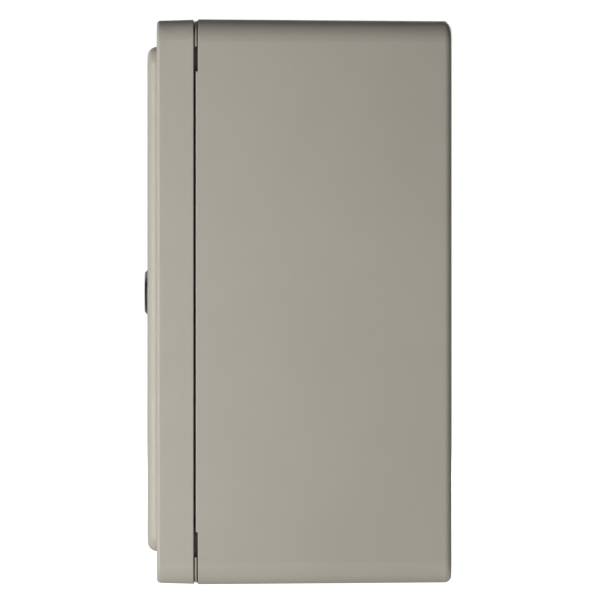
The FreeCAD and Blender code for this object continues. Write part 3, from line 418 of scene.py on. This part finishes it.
def rounded(width, height, radius, per_corner=8):
    """The points of a rounded rectangle about 0, anticlockwise from the right side's foot."""
    points = []
    for sign_x, sign_up, start in ((1, 1, 0), (-1, 1, 90), (-1, -1, 180), (1, -1, 270)):
        for i in range(per_corner + 1):
            angle = math.radians(start + 90 * i / per_corner)
            points.append((sign_x * (width / 2 - radius) + radius * math.cos(angle),
                           sign_up * (height / 2 - radius) + radius * math.sin(angle)))
    return points


class Piece:
    """A mesh that is filled in step by step and then put on a body."""

    def __init__(self, name):
        self.name = name
        self.mesh = bmesh.new()

    def bar(self, x, forward, up, width, thick, height, turn=0.0):
        """A box whose back face is at forward, turned about its forward axis in degrees."""
        made = bmesh.ops.create_cube(self.mesh, size=1.0)["verts"]
        bmesh.ops.scale(self.mesh, vec=Vector((width, thick, height)) * MM, verts=made)
        bmesh.ops.rotate(self.mesh, cent=(0, 0, 0), verts=made,
                         matrix=Matrix.Rotation(math.radians(turn), 3, "Y"))
        bmesh.ops.translate(self.mesh, vec=spot(x, forward + thick / 2, up), verts=made)
        return self

    def skin(self, rings, closed=False):
        """Quads between neighbouring rings of points; the ends are capped unless closed."""
        loops = [[self.mesh.verts.new(point) for point in ring] for ring in rings]
        pairs = list(zip(loops, loops[1:] + loops[:1])) if closed else list(zip(loops, loops[1:]))
        for first, second in pairs:
            for i in range(len(first)):
                j = (i + 1) % len(first)
                self.mesh.faces.new((first[i], first[j], second[j], second[i]))
        if not closed:
            self.mesh.faces.new(loops[0][::-1])
            self.mesh.faces.new(loops[-1])
        return self

    def turned(self, profile, x, forward, up, sides=48, axis="forward", closed=False):
        """A lathe shape: profile holds (radius, distance along the axis from the point)."""
        rings = []
        for radius, along in profile:
            ring = []
            for i in range(sides):
                angle = 2 * math.pi * i / sides
                across, tall = radius * math.cos(angle), radius * math.sin(angle)
                ring.append({"forward": spot(x + across, forward + along, up + tall),
                             "up": spot(x + across, forward + tall, up + along),
                             "right": spot(x + along, forward + across, up + tall)}[axis])
            rings.append(ring)
        return self.skin(rings, closed)

    def prism(self, outline, x, forward, up, thick):
        """A flat shape, given as (x, up) points round the place, that is thick forward."""
        rings = [[spot(x + a, forward + depth, up + b) for a, b in outline]
                 for depth in (0, thick)]
        return self.skin(rings)

    def text(self, words, x, forward, up, height, thick=0.06):
        """Numbers that face forward, centred on the place."""
        curve = bpy.data.curves.new("numbers", "FONT")
        curve.body = words
        curve.size = height * MM
        curve.extrude = thick / 2 * MM
        curve.align_x = curve.align_y = "CENTER"
        curve.resolution_u = 4
        holder = bpy.data.objects.new("numbers", curve)
        shape = bpy.data.meshes.new_from_object(holder)
        shape.transform(Matrix.Translation(spot(x, forward + thick / 2, up))
                        @ Matrix.Rotation(math.radians(90), 4, "X"))
        self.mesh.from_mesh(shape)
        bpy.data.objects.remove(holder)
        bpy.data.curves.remove(curve)
        bpy.data.meshes.remove(shape)
        return self

    def done(self, body, slot, material=None, bevel=0.0):
        """Close the mesh, round its edges by the bevel in millimetres, and ride the body."""
        bmesh.ops.recalc_face_normals(self.mesh, faces=self.mesh.faces)
        data = bpy.data.meshes.new(self.name)
        self.mesh.to_mesh(data)
        self.mesh.free()
        data.shade_smooth()
        data.set_sharp_from_angle(angle=math.radians(SMOOTH_ANGLE))
        made = bpy.data.objects.new(self.name, data)
        bpy.context.scene.collection.objects.link(made)
        data.materials.append(material or MATERIALS[slot])
        if bevel:
            round_edges(made, bevel)
        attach(made, body)
        return made


def round_edges(item, radius):
    """Real rounded edges by a modifier, with flat faces that stay flat in the shading."""
    bevel = item.modifiers.new("rounded_edges", "BEVEL")
    bevel.width = radius * MM
    bevel.segments = 2
    bevel.limit_method = "ANGLE"
    bevel.angle_limit = math.radians(40)
    bevel.harden_normals = True


# ---------- CAD nodes shown with rounded edges ----------

# Edge radius in millimetres, and the nodes that have it
ROUNDED_NODES = {
    0.5: ["battery_tray", "mains_cover", "card_holder", "mains_box", "module_housing"],
    0.3: ["terminal_block", "ribbon_plugs", "bypass_slider", "display_frame", "triacs",
          "lock_cam", "strike_plate", "module_back_cover", "bypass_switch_body"],
}
WELD_DISTANCE = 1e-6
FLAT_ANGLE = math.radians(1)


def rounded_copies():
    """The same solids with rolled edges, each in place of its sharp CAD node."""
    for radius, names in ROUNDED_NODES.items():
        for name in names:
            piece = Piece(f"{name}_moulded")
            piece.mesh.from_mesh(NODES[name].data)
            bmesh.ops.remove_doubles(piece.mesh, verts=piece.mesh.verts, dist=WELD_DISTANCE)
            bmesh.ops.dissolve_limit(piece.mesh, angle_limit=FLAT_ANGLE,
                                     verts=piece.mesh.verts, edges=piece.mesh.edges)
            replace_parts(piece.done(BODY_OF[name], SLOT_OF[name], bevel=radius), name)


# ---------- door ----------

GASKET_WIDTH = 3.6


def gasket_strip():
    """A soft D-shaped foam strip in the door's groove, which replaces its plain CAD ring."""
    ring = space("door_gasket")
    corner, side_play, end_play = 3.9, 0.1, 0.05
    flank = 0.25    # the share of the strip's depth that is straight-sided
    middle_width, middle_height = ring.width - GASKET_WIDTH, ring.height - GASKET_WIDTH
    thick = ring.front - ring.back - end_play
    section = [(-1, 0), (1, 0)]
    for degrees in range(0, 181, 15):
        angle = math.radians(degrees)
        section.append((math.cos(angle), flank + (1 - flank) * math.sin(angle)))
    rings = []
    for across, depth in section:
        grow = across * (GASKET_WIDTH / 2 - side_play)
        outline = rounded(middle_width + 2 * grow, middle_height + 2 * grow, corner + grow,
                          per_corner=12)
        rings.append([spot(ring.x + a, ring.front - depth * thick, ring.up + b)
                      for a, b in outline])
    strip = Piece("door_gasket_strip").skin(rings, closed=True).done("door", "gasket_foam")
    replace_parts(strip, "door_gasket")


def door_ribs():
    """Short gussets and ejector marks on the inner face of the door, inside the gasket."""
    card = space("instruction_card")
    gasket = space("door_gasket")
    pocket_edge, clear_of_strip = 93.2, 0.6
    span = gasket.right - GASKET_WIDTH - clear_of_strip - pocket_edge
    pitch, stand = 19.0, 1.6
    ribs = Piece("door_gussets")
    for side in (-1, 1):
        for level in range(-5, 6):
            ribs.bar(side * (pocket_edge + span / 2), gasket.front - stand, level * pitch,
                     width=span, thick=1.8, height=1.1)
    ribs.done("door", "case_plastic", bevel=0.2)
    marks = Piece("door_ejector_marks")
    for x in (-88, 40, 60, 86):
        for level in (-84, -52, 60, 92):
            marks.turned([(2.6, 0.2), (2.6, -0.12), (2.3, -0.2), (2.1, -0.12)],
                         x, card.front, level, sides=24)
    marks.done("door", "case_plastic")


def card_print():
    """A blank planting chart: ruled lines, a header band and small schedule marks, no words."""
    card = space("instruction_card")
    face = card.back - 0.03
    margin, header, band = 6.0, 12, 7
    columns, rows = 8, 12
    line, dot, ink = 0.35, 1.5, 0.04
    wide, tall = card.width - 2 * margin, card.height - 2 * margin - header
    left, low = card.x - wide / 2, card.low + margin
    lines = Piece("card_lines")
    for i in range(columns + 1):
        lines.bar(left + wide * i / columns, face, low + tall / 2, line, ink, tall)
    for i in range(rows + 1):
        lines.bar(card.x, face, low + tall * i / rows, wide, ink, line)
    lines.bar(card.x, face, card.high - margin - band / 2, wide, ink, band)
    lines.done("door", "part_black", INK)
    marks = Piece("card_marks")
    for column in range(1, columns):
        for row in range(rows):
            scattered = (column * 5 + row * 3) % 7 < 2
            if scattered:
                marks.turned([(dot, 0), (dot, ink)], left + wide * (column + 0.5) / columns,
                             face, low + tall * (row + 0.5) / rows, sides=20)
    marks.done("door", "terminal_green")


def lock_details():
    """A pressed dust ring round the key's slot, and the thread that the nut runs on."""
    barrel = space("lock_barrel")
    bezel = space("lock_bezel")
    ring = Piece("lock_dust_ring")
    ring.turned([(5.6, -0.1), (5.6, 0.22), (5.3, 0.3), (4.9, 0.22), (4.9, -0.1)],
                barrel.x, barrel.front, barrel.up, closed=True)
    ring.done("lock", "plated_steel")
    nut = space("lock_nut")
    pitch, first = 1.0, 0.6
    grooves = Piece("lock_thread")
    for i in range(int((nut.back - bezel.back) / pitch)):
        along = bezel.back + first + i * pitch
        grooves.turned([(7.5, -0.4), (7.9, -0.4), (8.35, 0), (7.9, 0.4), (7.5, 0.4)],
                       bezel.x, along, bezel.up, sides=36, closed=True)
    grooves.done("door", "lock_black")


# ---------- fascia ----------

def display_segments():
    """The clock's digits and colon, a row of seven day marks and a water drop on the glass."""
    glass = space("display_glass")
    window = space("display_window")
    face = glass.front + 0.05
    shown = {"0": "abcdef", "1": "bc", "2": "abged", "5": "afgcd"}
    tall, wide, bar, end_gap = 17.0, 8.2, 1.9, 1.1
    first, spacing, colon_gap, raised = -19, 12.6, 2.5, 1
    thin, lean, ink = 0.97, 0.08, 0.08
    # Where each segment's middle is, across and up, and its turn in degrees
    places = {"a": (0, tall / 2, 90), "g": (0, 0, 90), "d": (0, -tall / 2, 90),
              "b": (wide / 2, tall / 4, 0), "c": (wide / 2, -tall / 4, 0),
              "f": (-wide / 2, tall / 4, 0), "e": (-wide / 2, -tall / 4, 0)}
    lit = Piece("display_digits")
    unlit = Piece("display_unlit_digits")
    for i, digit in enumerate("1025"):
        middle = window.x + first + i * spacing + (colon_gap if i > 1 else 0)
        for letter, (right, top, turn) in places.items():
            length = (tall / 2 if turn == 0 else wide) - end_gap
            half, tip = length / 2, bar / 2
            points = [(-tip, -half + tip), (0, -half), (tip, -half + tip),
                      (tip, half - tip), (0, half), (-tip, half - tip)]
            if turn:
                points = [(b, -a) for a, b in points]
            target = lit if letter in shown[digit] else unlit
            target.prism([(a * thin + lean * (top + b), b * thin) for a, b in points],
                         middle + right, face, window.up + top + raised, ink)
    colon_radius, colon_x = 1.1, window.x + 1.3
    for top in (-3, 3):
        lit.turned([(colon_radius, 0), (colon_radius, ink)], colon_x, face,
                   window.up + top + raised, sides=20)
    first_day, day_pitch, days_up = -30, 10, 3.4
    watering_days = (0, 2, 4)
    for i in range(7):
        target = lit if i in watering_days else unlit
        target.prism([(-3.4, -0.7), (3.4, -0.7), (3.4, 0.7), (-3.4, 0.7)],
                     window.x + first_day + i * day_pitch, face, window.low + days_up, ink)
    drop_radius, drop_tip = 1.9, 4.2
    drop = [(drop_radius * math.cos(math.radians(a)), drop_radius * math.sin(math.radians(a)))
            for a in range(150, 391, 12)] + [(0, drop_tip)]
    lit.prism(drop, window.right - 8, face, window.up + 4, ink)
    lit.done("case", "part_black", SEGMENT)
    unlit.done("case", "display_grey", FAINT)


def fascia_print():
    """Ticks and numbers round the dial, outlines round the groups, and the switch's marks."""
    face = space("module_housing").front
    dial = space("dial_knob")
    radius = dial.width / 2
    hours, ink = 12, 0.05
    tick_gap, long_tick, short_tick, tick_line = 2.2, 2.2, 1.2, 0.5
    number_gap, number_height = 7.4, 4.2
    pale = Piece("fascia_marks")
    for i in range(2 * hours):
        turn = 180 / hours * i
        angle = math.radians(turn)
        length = long_tick if i % 2 == 0 else short_tick
        reach = radius + tick_gap + length / 2
        pale.bar(dial.x + reach * math.sin(angle), face, dial.up + reach * math.cos(angle),
                 tick_line, ink, length, turn)
    for i in range(hours):
        angle = math.radians(360 / hours * i)
        reach = radius + number_gap
        pale.text(str(i or hours), dial.x + reach * math.sin(angle), face - 0.01,
                  dial.up + reach * math.cos(angle), number_height)
    switch = space("bypass_slider")
    switch_x, mark_reach = space("bypass_switch_body").x, 13.5
    for side, shape in ((-1, [(-1.6, -1.6), (1.6, -1.6), (1.6, 1.6), (-1.6, 1.6)]),
                        (1, [(-1.4, -1.8), (1.8, 0), (-1.4, 1.8)])):
        pale.prism(shape, switch_x + side * mark_reach, face, switch.up, ink)
    frame_line(pale, switch_x, switch.up, width=40, height=14, radius=3, forward=face)
    keys = [space(name) for name in KEY_NODES]
    frame_line(pale, keys[1].x, (keys[0].up + keys[-1].up) / 2, width=72, height=46, radius=5,
               forward=face)
    pale.done("case", "backlight_white", PALE_INK)


def frame_line(piece, x, up, width, height, radius, forward, line=0.45, thick=0.05):
    """A thin printed outline with round corners."""
    inner = rounded(width - 2 * line, height - 2 * line, radius - line)
    outer = rounded(width, height, radius)
    rings = [[spot(x + a, forward + depth, up + b) for a, b in outline]
             for outline, depth in ((outer, 0), (outer, thick), (inner, thick), (inner, 0))]
    piece.skin(rings, closed=True)


def dial_details():
    """A cap on the grip, a line on the pointer, fine ribs on the skirt and a washer behind."""
    dial = space("dial_knob")
    shaft = space("dial_shaft")
    cap = Piece("dial_cap")
    cap.turned([(11.8, 0), (11.8, 0.25), (11.4, 0.55), (9.8, 0.55), (9.4, 0.3), (3.0, 0.12),
                (0.4, 0.1)], dial.x, dial.front, dial.up, sides=64)
    cap.done("dial", "trim_plastic")
    line = Piece("dial_pointer_line")
    line.bar(dial.x, dial.back + 4.2, dial.up + 19.5, width=1.0, thick=0.06, height=7.0)
    line.done("dial", "lock_black", INK)
    count, skirt, rise = 60, 23.2, 2.95
    ribs = Piece("dial_skirt_ribs")
    for i in range(count):
        angle = 2 * math.pi * i / count
        ribs.bar(dial.x + skirt * math.sin(angle), dial.back + rise,
                 dial.up + skirt * math.cos(angle), width=0.5, thick=0.3, height=1.4,
                 turn=math.degrees(angle))
    ribs.done("dial", "dial_plastic", bevel=0.08)
    collar = Piece("dial_washer")
    collar.turned([(3.2, 0), (3.2, 0.8), (5.4, 0.8), (5.6, 0.6), (5.6, 0)], shaft.x,
                  space("module_housing").front, shaft.up, closed=True)
    collar.done("case", "trim_plastic")


KEY_NODES = ["button_back", "button_down", "button_next", "button_run", "button_up",
             "button_program"]
KEY_BODIES = {name: name.replace("button", "key") for name in KEY_NODES}
ARROW = [(-2.0, -0.7), (0.3, -0.7), (0.3, -2.0), (2.4, 0), (0.3, 2.0), (0.3, 0.7), (-2.0, 0.7)]
KEY_MARKS = {
    "button_back": (ARROW, 180), "button_next": (ARROW, 0), "button_up": (ARROW, 90),
    "button_down": (ARROW, -90), "button_run": ([(-1.6, -2.1), (2.2, 0), (-1.6, 2.1)], 0),
    "button_program": ([(-1.9, -1.9), (1.9, -1.9), (1.9, 1.9), (-1.9, 1.9)], 45),
}
DISH_RADIUS, DISH_DEPTH = 20.0, 0.6


def dish(radius):
    """How far the dished top of a key stands from its rim, at a radius."""
    return DISH_RADIUS - math.sqrt(DISH_RADIUS ** 2 - radius ** 2) - DISH_DEPTH


def keys():
    """Moulded rubber keys with rolled rims and dished tops, and a printed mark on each."""
    cap, roll, step, ink = 6.0, 0.7, 1.5, 0.04
    for node, body in KEY_BODIES.items():
        box = space(node)
        long, flange = box.front - box.back, box.width / 2
        profile = [(flange - 0.1, 0), (flange - 0.1, 1.25), (flange - 0.35, step),
                   (cap + 0.25, step), (cap, 1.8)]
        for degrees in range(0, 91, 15):
            angle = math.radians(degrees)
            profile.append((cap - roll + roll * math.cos(angle),
                            long - roll + roll * math.sin(angle)))
        profile += [(radius, long + dish(radius)) for radius in (4.8, 4.0, 3.0, 2.0, 1.0, 0.2)]
        made = Piece(f"{body}_cap").turned(profile, box.x, box.back, box.up).done(body, "key_rubber")
        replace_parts(made, node)
        outline, turn = KEY_MARKS[node]
        swing = Matrix.Rotation(math.radians(turn), 2)
        points = [tuple(swing @ Vector(point)) for point in outline]
        rings = [[spot(box.x + a, box.front + dish(math.hypot(a, b)) + lift, box.up + b)
                  for a, b in points] for lift in (-0.1, ink)]
        Piece(f"{body}_mark").skin(rings).done(body, "part_black", INK)


def switch_and_lamp():
    """Grip ribs on the slide switch, a bezel ring round the lamp and a dome on it."""
    slider = space("bypass_slider")
    pitch = 1.2
    ribs = Piece("bypass_grip_ribs")
    for i in range(-2, 3):
        ribs.bar(slider.x + i * pitch, slider.front - 0.1, slider.up,
                 width=0.5, thick=0.35, height=6.4)
    ribs.done("bypass", "dial_plastic", bevel=0.12)
    lamp = space("status_lamp")
    ring = Piece("lamp_bezel")
    ring.turned([(1.6, 0), (1.6, 0.5), (2.2, 0.6), (2.7, 0.35), (2.8, 0)], lamp.x,
                space("module_housing").front, lamp.up, closed=True)
    ring.done("case", "trim_plastic")
    radius, dome = 1.4, 0.7
    lens = Piece("lamp_dome")
    lens.turned([(radius, 0)] + [(radius * math.cos(a), dome * math.sin(a))
                                 for a in map(math.radians, range(0, 85, 12))],
                lamp.x, lamp.front - 0.05, lamp.up, sides=32)
    lens.done("case", "lamp_lens")


# ---------- wiring bay ----------

TERMINALS = 10


def slotted_screws():
    """Slotted heads in the terminal wells, in place of plain discs."""
    box = space("terminal_screws")
    heads = Piece("terminal_slotted_screws")
    radius, slot, depth = 2.5, 0.7, 1.0
    pitch = (box.width - 2 * radius) / (TERMINALS - 1)
    thick = box.front - box.back
    edge, steps = math.asin(slot / 2 / radius), 14
    half = [(radius * math.cos(a), radius * math.sin(a))
            for a in (edge + (math.pi - 2 * edge) * k / steps for k in range(steps + 1))]
    for i in range(TERMINALS):
        x = box.left + radius + i * pitch
        heads.turned([(radius, 0), (radius, thick - depth)], x, box.back, box.up,
                     sides=36)
        turn = math.radians(17 + 47 * i)    # each screw stopped at its own angle
        for flip in (0, math.pi):
            swing = Matrix.Rotation(turn + flip, 2)
            heads.prism([tuple(swing @ Vector(point)) for point in half], x,
                        box.back + thick - depth, box.up, depth)
    made = heads.done("case", "contact_brass", bevel=0.08)
    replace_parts(made, "terminal_screws")


def terminal_marks():
    """Divider fins between the terminals, and a frame and numbers under them."""
    block = space("terminal_block")
    board = space("terminal_board")
    fins = Piece("terminal_dividers")
    pitch = 10.0
    for i in range(TERMINALS + 1):
        x = block.x + (i - TERMINALS / 2) * pitch
        fins.bar(x, block.front - 0.3, block.up, width=1.1, thick=0.9,
                 height=block.height - 1.6)
    fins.done("case", "terminal_green", bevel=0.2)
    numbers = Piece("terminal_numbers")
    for i in range(TERMINALS):
        numbers.text(str(i + 1), block.x + (i - (TERMINALS - 1) / 2) * pitch, board.front,
                     block.low - 3.6, height=3.2)
    around = 2.4
    frame_line(numbers, block.x, block.up, block.width + around, block.height + around,
               radius=1.2, forward=board.front, line=0.3)
    numbers.done("case", "card_paper", PALE_INK)


def board_parts():
    """Surge discs, part legs, resistors with bands and solder pads on the terminal board."""
    board = space("terminal_board")
    triacs = space("triacs")
    outputs, pitch = 8, 7.5
    discs = Piece("surge_discs")
    legs = Piece("part_legs")
    resistors = Piece("resistors")
    bands = Piece("resistor_bands")
    for i in range(outputs):
        x = triacs.left + 2.3 + i * pitch
        top = triacs.up + 6.6
        discs.turned([(2.2, -0.9), (2.7, -0.6), (2.8, 0), (2.7, 0.6), (2.2, 0.9)],
                     x, board.front + 3.6, top, sides=28, axis="up")
        for side in (-1, 1):
            legs.turned([(0.3, 0), (0.3, 1.4)], x + side * 1.3, board.front, top, sides=10)
        for side in (-1, 0, 1):
            legs.turned([(0.28, 0), (0.28, 1.0)], x + side * 1.2, board.front,
                        triacs.low - 1.1, sides=10)
        low, lift = triacs.low - 2.6, board.front + 0.95
        resistors.turned([(0.6, -1.9), (0.8, -1.7), (0.85, -1.3), (0.7, -1.1), (0.7, 1.1),
                          (0.85, 1.3), (0.8, 1.7), (0.6, 1.9)], x, lift, low, sides=20,
                         axis="right")
        for along in (-0.7, 0, 0.7):
            bands.turned([(0.73, -0.14), (0.73, 0.14)], x + along, lift, low, sides=20,
                         axis="right")
    discs.done("case", "can_sleeve")
    legs.done("case", "plated_steel")
    resistors.done("case", "display_grey")
    bands.done("case", "lead_sleeve")
    solder = Piece("solder_pads")
    pads, first_pad, pad_pitch = 13, 13, 8
    for i in range(pads):
        for level in (board.high - 2.2, board.low + 1.9):
            solder.turned([(0.9, 0), (0.75, 0.18), (0.35, 0.3)],
                          board.left + first_pad + i * pad_pitch, board.front, level,
                          sides=16)
    solder.done("case", "plated_steel")


def fuse_details():
    """The wire inside the fuse, and two raised rims round each of its end caps."""
    fuse = space("fuse_link")
    cap, forward = 5, (fuse.back + fuse.front) / 2
    wire = Piece("fuse_wire")
    wire.turned([(0.16, 0), (0.16, fuse.width - 2)], fuse.left + 1, forward, fuse.up,
                sides=8, axis="right")
    wire.done("case", "plated_steel")
    rims = Piece("fuse_rims")
    for end in (fuse.left, fuse.right - cap):
        for along in (0.5, cap - 0.5):
            rims.turned([(2.55, -0.3), (2.72, 0), (2.55, 0.3)], end + along, forward, fuse.up,
                        sides=32, axis="right")
    rims.done("case", "contact_brass")


def ribbon_lead():
    """A flat cable of twenty round cores with soft bends, in place of the CAD cable."""
    box = space("ribbon_cable")
    cores, thick, bend, steps = 20, 1.2, 3.0, 9
    rise = 74.6    # how far forward of the wall the cable climbs
    core = box.width / cores
    low, high = box.low + thick / 2, box.high - thick / 2
    line = [(box.back, low, 90)]    # forward, up and the section's turn in degrees
    for turn in (90 * i / steps for i in range(steps + 1)):
        angle = math.radians(turn - 90)
        line.append((rise - bend + bend * math.cos(angle), low + bend + bend * math.sin(angle),
                     90 - turn))
    for turn in (90 * i / steps for i in range(steps + 1)):
        angle = math.radians(180 - turn)
        line.append((rise + bend + bend * math.cos(angle), high - bend + bend * math.sin(angle),
                     turn))
    line.append((box.front, high, 90))
    section = []
    for side, order in ((1, range(cores)), (-1, range(cores - 1, -1, -1))):
        for i in order:
            for angle in (20, 55, 90, 125, 160):
                across = -math.cos(math.radians(angle)) * core / 2 * side
                section.append((box.left + (i + 0.5) * core + across,
                                side * thick / 2 * math.sin(math.radians(angle))))
    rings = [[spot(x, forward - off * math.cos(math.radians(turn)),
                   up + off * math.sin(math.radians(turn))) for x, off in section]
             for forward, up, turn in line]
    lead = Piece("ribbon_lead").skin(rings).done("case", "ribbon_grey")
    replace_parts(lead, "ribbon_cable")


# ---------- case ----------

def case_ribs():
    """Stiffening ribs on the case's inner side walls, and ejector marks on its back."""
    module = space("module_housing")
    inner_wall, inner_back, sink = 106.1, 3.0, 0.5
    count, lowest, pitch = 8, -100, 28
    ribs = Piece("case_side_ribs")
    for side in (-1, 1):
        for i in range(count):
            ribs.bar(side * (inner_wall - 1.0), inner_back - sink, lowest + i * pitch,
                     width=2.4, thick=module.back - 6, height=1.3)
    ribs.done("case", "case_plastic", bevel=0.25)
    marks = Piece("case_ejector_marks")
    for x, up in ((-96, 117), (-40, 117), (40, 117), (96, 117), (100, -30), (100, -84),
                  (100, -116), (12, -116), (-22, -92), (-22, -52)):
        marks.turned([(3.0, -0.3), (3.0, 0.12), (2.7, 0.2), (2.5, 0.12)],
                     x, inner_back, up, sides=28)
    marks.done("case", "case_plastic")


def floor_rings():
    """Raised rings round the conduit holes under the case, and ribs on the plug."""
    holes = {-68: 11.1, 30: 14.1, 78: 11.1}    # radius at each x
    forward = 45.0
    back_rise, slope = 0.85, 0.0075    # the underside is higher at the wall than at the door
    surface = CAD_BOX[0].z / MM + back_rise - forward * slope
    rings = Piece("conduit_rings")
    for x, radius in holes.items():
        rings.turned([(radius + 1.0, 0.5), (radius + 1.0, -0.2), (radius + 1.15, -0.34),
                      (radius + 1.9, -0.34), (radius + 2.1, -0.2), (radius + 2.1, 0.5)],
                     x, forward, surface, sides=64, axis="up", closed=True)
    rings.done("case", "case_plastic")
    plug = space("conduit_plug")
    ribs = Piece("plug_rings")
    for radius in (3.5, 8.6):
        ribs.turned([(radius, 0.2), (radius, -0.18), (radius + 0.15, -0.28),
                     (radius + 0.55, -0.28), (radius + 0.7, -0.18), (radius + 0.7, 0.2)],
                    plug.x, forward, plug.low, sides=48, axis="up", closed=True)
    ribs.done("case", SLOT_OF["conduit_plug"])


def tray_ribs():
    """Finger ribs on the battery tray's lip."""
    tray = space("battery_tray")
    pitch = 2.0
    ribs = Piece("tray_grip_ribs")
    for i in range(-5, 6):
        ribs.bar(tray.x + i * pitch, tray.front - 0.1, tray.low + 2.0,
                 width=0.8, thick=0.45, height=2.6)
    ribs.done("battery", SLOT_OF["battery_tray"], bevel=0.15)


for build in (rounded_copies, gasket_strip, door_ribs, card_print, lock_details,
              display_segments, fascia_print, dial_details, keys, switch_and_lamp,
              slotted_screws, terminal_marks, board_parts, fuse_details, ribbon_lead,
              case_ribs, floor_rings, tray_ribs):
    build()


# ---------- stage, light and camera ----------

FLOOR_SIZE = 6.0


def stage_floor(low, seen, glow):
    """A pale floor that looks evenly white and lights the object only a little."""
    bpy.ops.mesh.primitive_plane_add(size=FLOOR_SIZE, location=(0, 0, low))
    floor = bpy.context.object
    floor.name = "floor"
    floor.visible_shadow = False
    made = Surface("pale_floor", 0.6)
    made.shader.inputs["Specular IOR Level"].default_value = 0.1
    made.shader.inputs["Emission Color"].default_value = (1, 1, 1, 1)
    rays = made.node("LightPath")
    made.link(made.spread(rays.outputs["Is Camera Ray"], 0, 1, glow, seen),
              made.shader.inputs["Emission Strength"])
    cloudy = made.noise(2, 2)
    made.colour(made.mix(cloudy, (0.86, 0.86, 0.86), (0.9, 0.9, 0.9)))
    floor.data.materials.append(made.material)


def world(seen, lighting):
    """A white surround for the camera and a dimmer one for the light it gives."""
    scene_world = bpy.data.worlds.new("studio")
    bpy.context.scene.world = scene_world
    scene_world.use_nodes = True
    tree = scene_world.node_tree
    tree.nodes.clear()
    shown = tree.nodes.new("ShaderNodeBackground")
    shown.inputs["Color"].default_value = (1, 1, 1, 1)
    shown.inputs["Strength"].default_value = seen
    lit = tree.nodes.new("ShaderNodeBackground")
    lit.inputs["Strength"].default_value = lighting
    rays = tree.nodes.new("ShaderNodeLightPath")
    mix = tree.nodes.new("ShaderNodeMixShader")
    tree.links.new(rays.outputs["Is Camera Ray"], mix.inputs[0])
    tree.links.new(lit.outputs[0], mix.inputs[1])
    tree.links.new(shown.outputs[0], mix.inputs[2])
    tree.links.new(mix.outputs[0], tree.nodes.new("ShaderNodeOutputWorld").inputs[0])


def soft_light(name, place, aim, size, power):
    """A rectangular lamp that the camera doesn't see."""
    data = bpy.data.lights.new(name, "AREA")
    data.shape = "RECTANGLE"
    data.size, data.size_y = size
    data.energy = power
    light = bpy.data.objects.new(name, data)
    bpy.context.scene.collection.objects.link(light)
    light.location = place
    light.visible_camera = False
    light.rotation_euler = (Vector(aim) - Vector(place)).to_track_quat("-Z", "Y").to_euler()


def camera(side, centre, field, distance):
    """A long lens that looks along -X at the side plane."""
    data = bpy.data.cameras.new("camera")
    sensor = 36
    data.sensor_width = sensor
    data.lens = sensor * distance / field
    data.clip_end = 50
    made = bpy.data.objects.new("camera", data)
    bpy.context.scene.collection.objects.link(made)
    made.location = (side + distance, centre[0], centre[1])
    made.rotation_euler = (math.radians(90), 0, math.radians(90))
    bpy.context.scene.camera = made


LOW, HIGH = CAD_BOX
MIDDLE = (LOW + HIGH) / 2
NEAR_SIDE = (HIGH.x, -0.05, -0.03)
stage_floor(LOW.z, seen=1.0, glow=0.17)
world(seen=1.02, lighting=0.01)
soft_light("key", (0.5, -0.56, 0.02), NEAR_SIDE, (0.2, 0.2), 1.65)
soft_light("low_key", (0.8, -0.5, -0.3), NEAR_SIDE, (0.2, 0.2), 3.3)
soft_light("top", (0.5, -0.6, 1.0), NEAR_SIDE, (0.6, 0.6), 1.6)
soft_light("front", (-1.3, -1.5, 0.8), MIDDLE, (1.2, 1.0), 9)
soft_light("back", (-1.9, 0.8, 0.9), MIDDLE, (1.2, 1.0), 40)
camera(HIGH.x, centre=(-0.0671, 0.0008), field=0.2652, distance=3.0)
bpy.context.scene.view_settings.view_transform = "Standard"
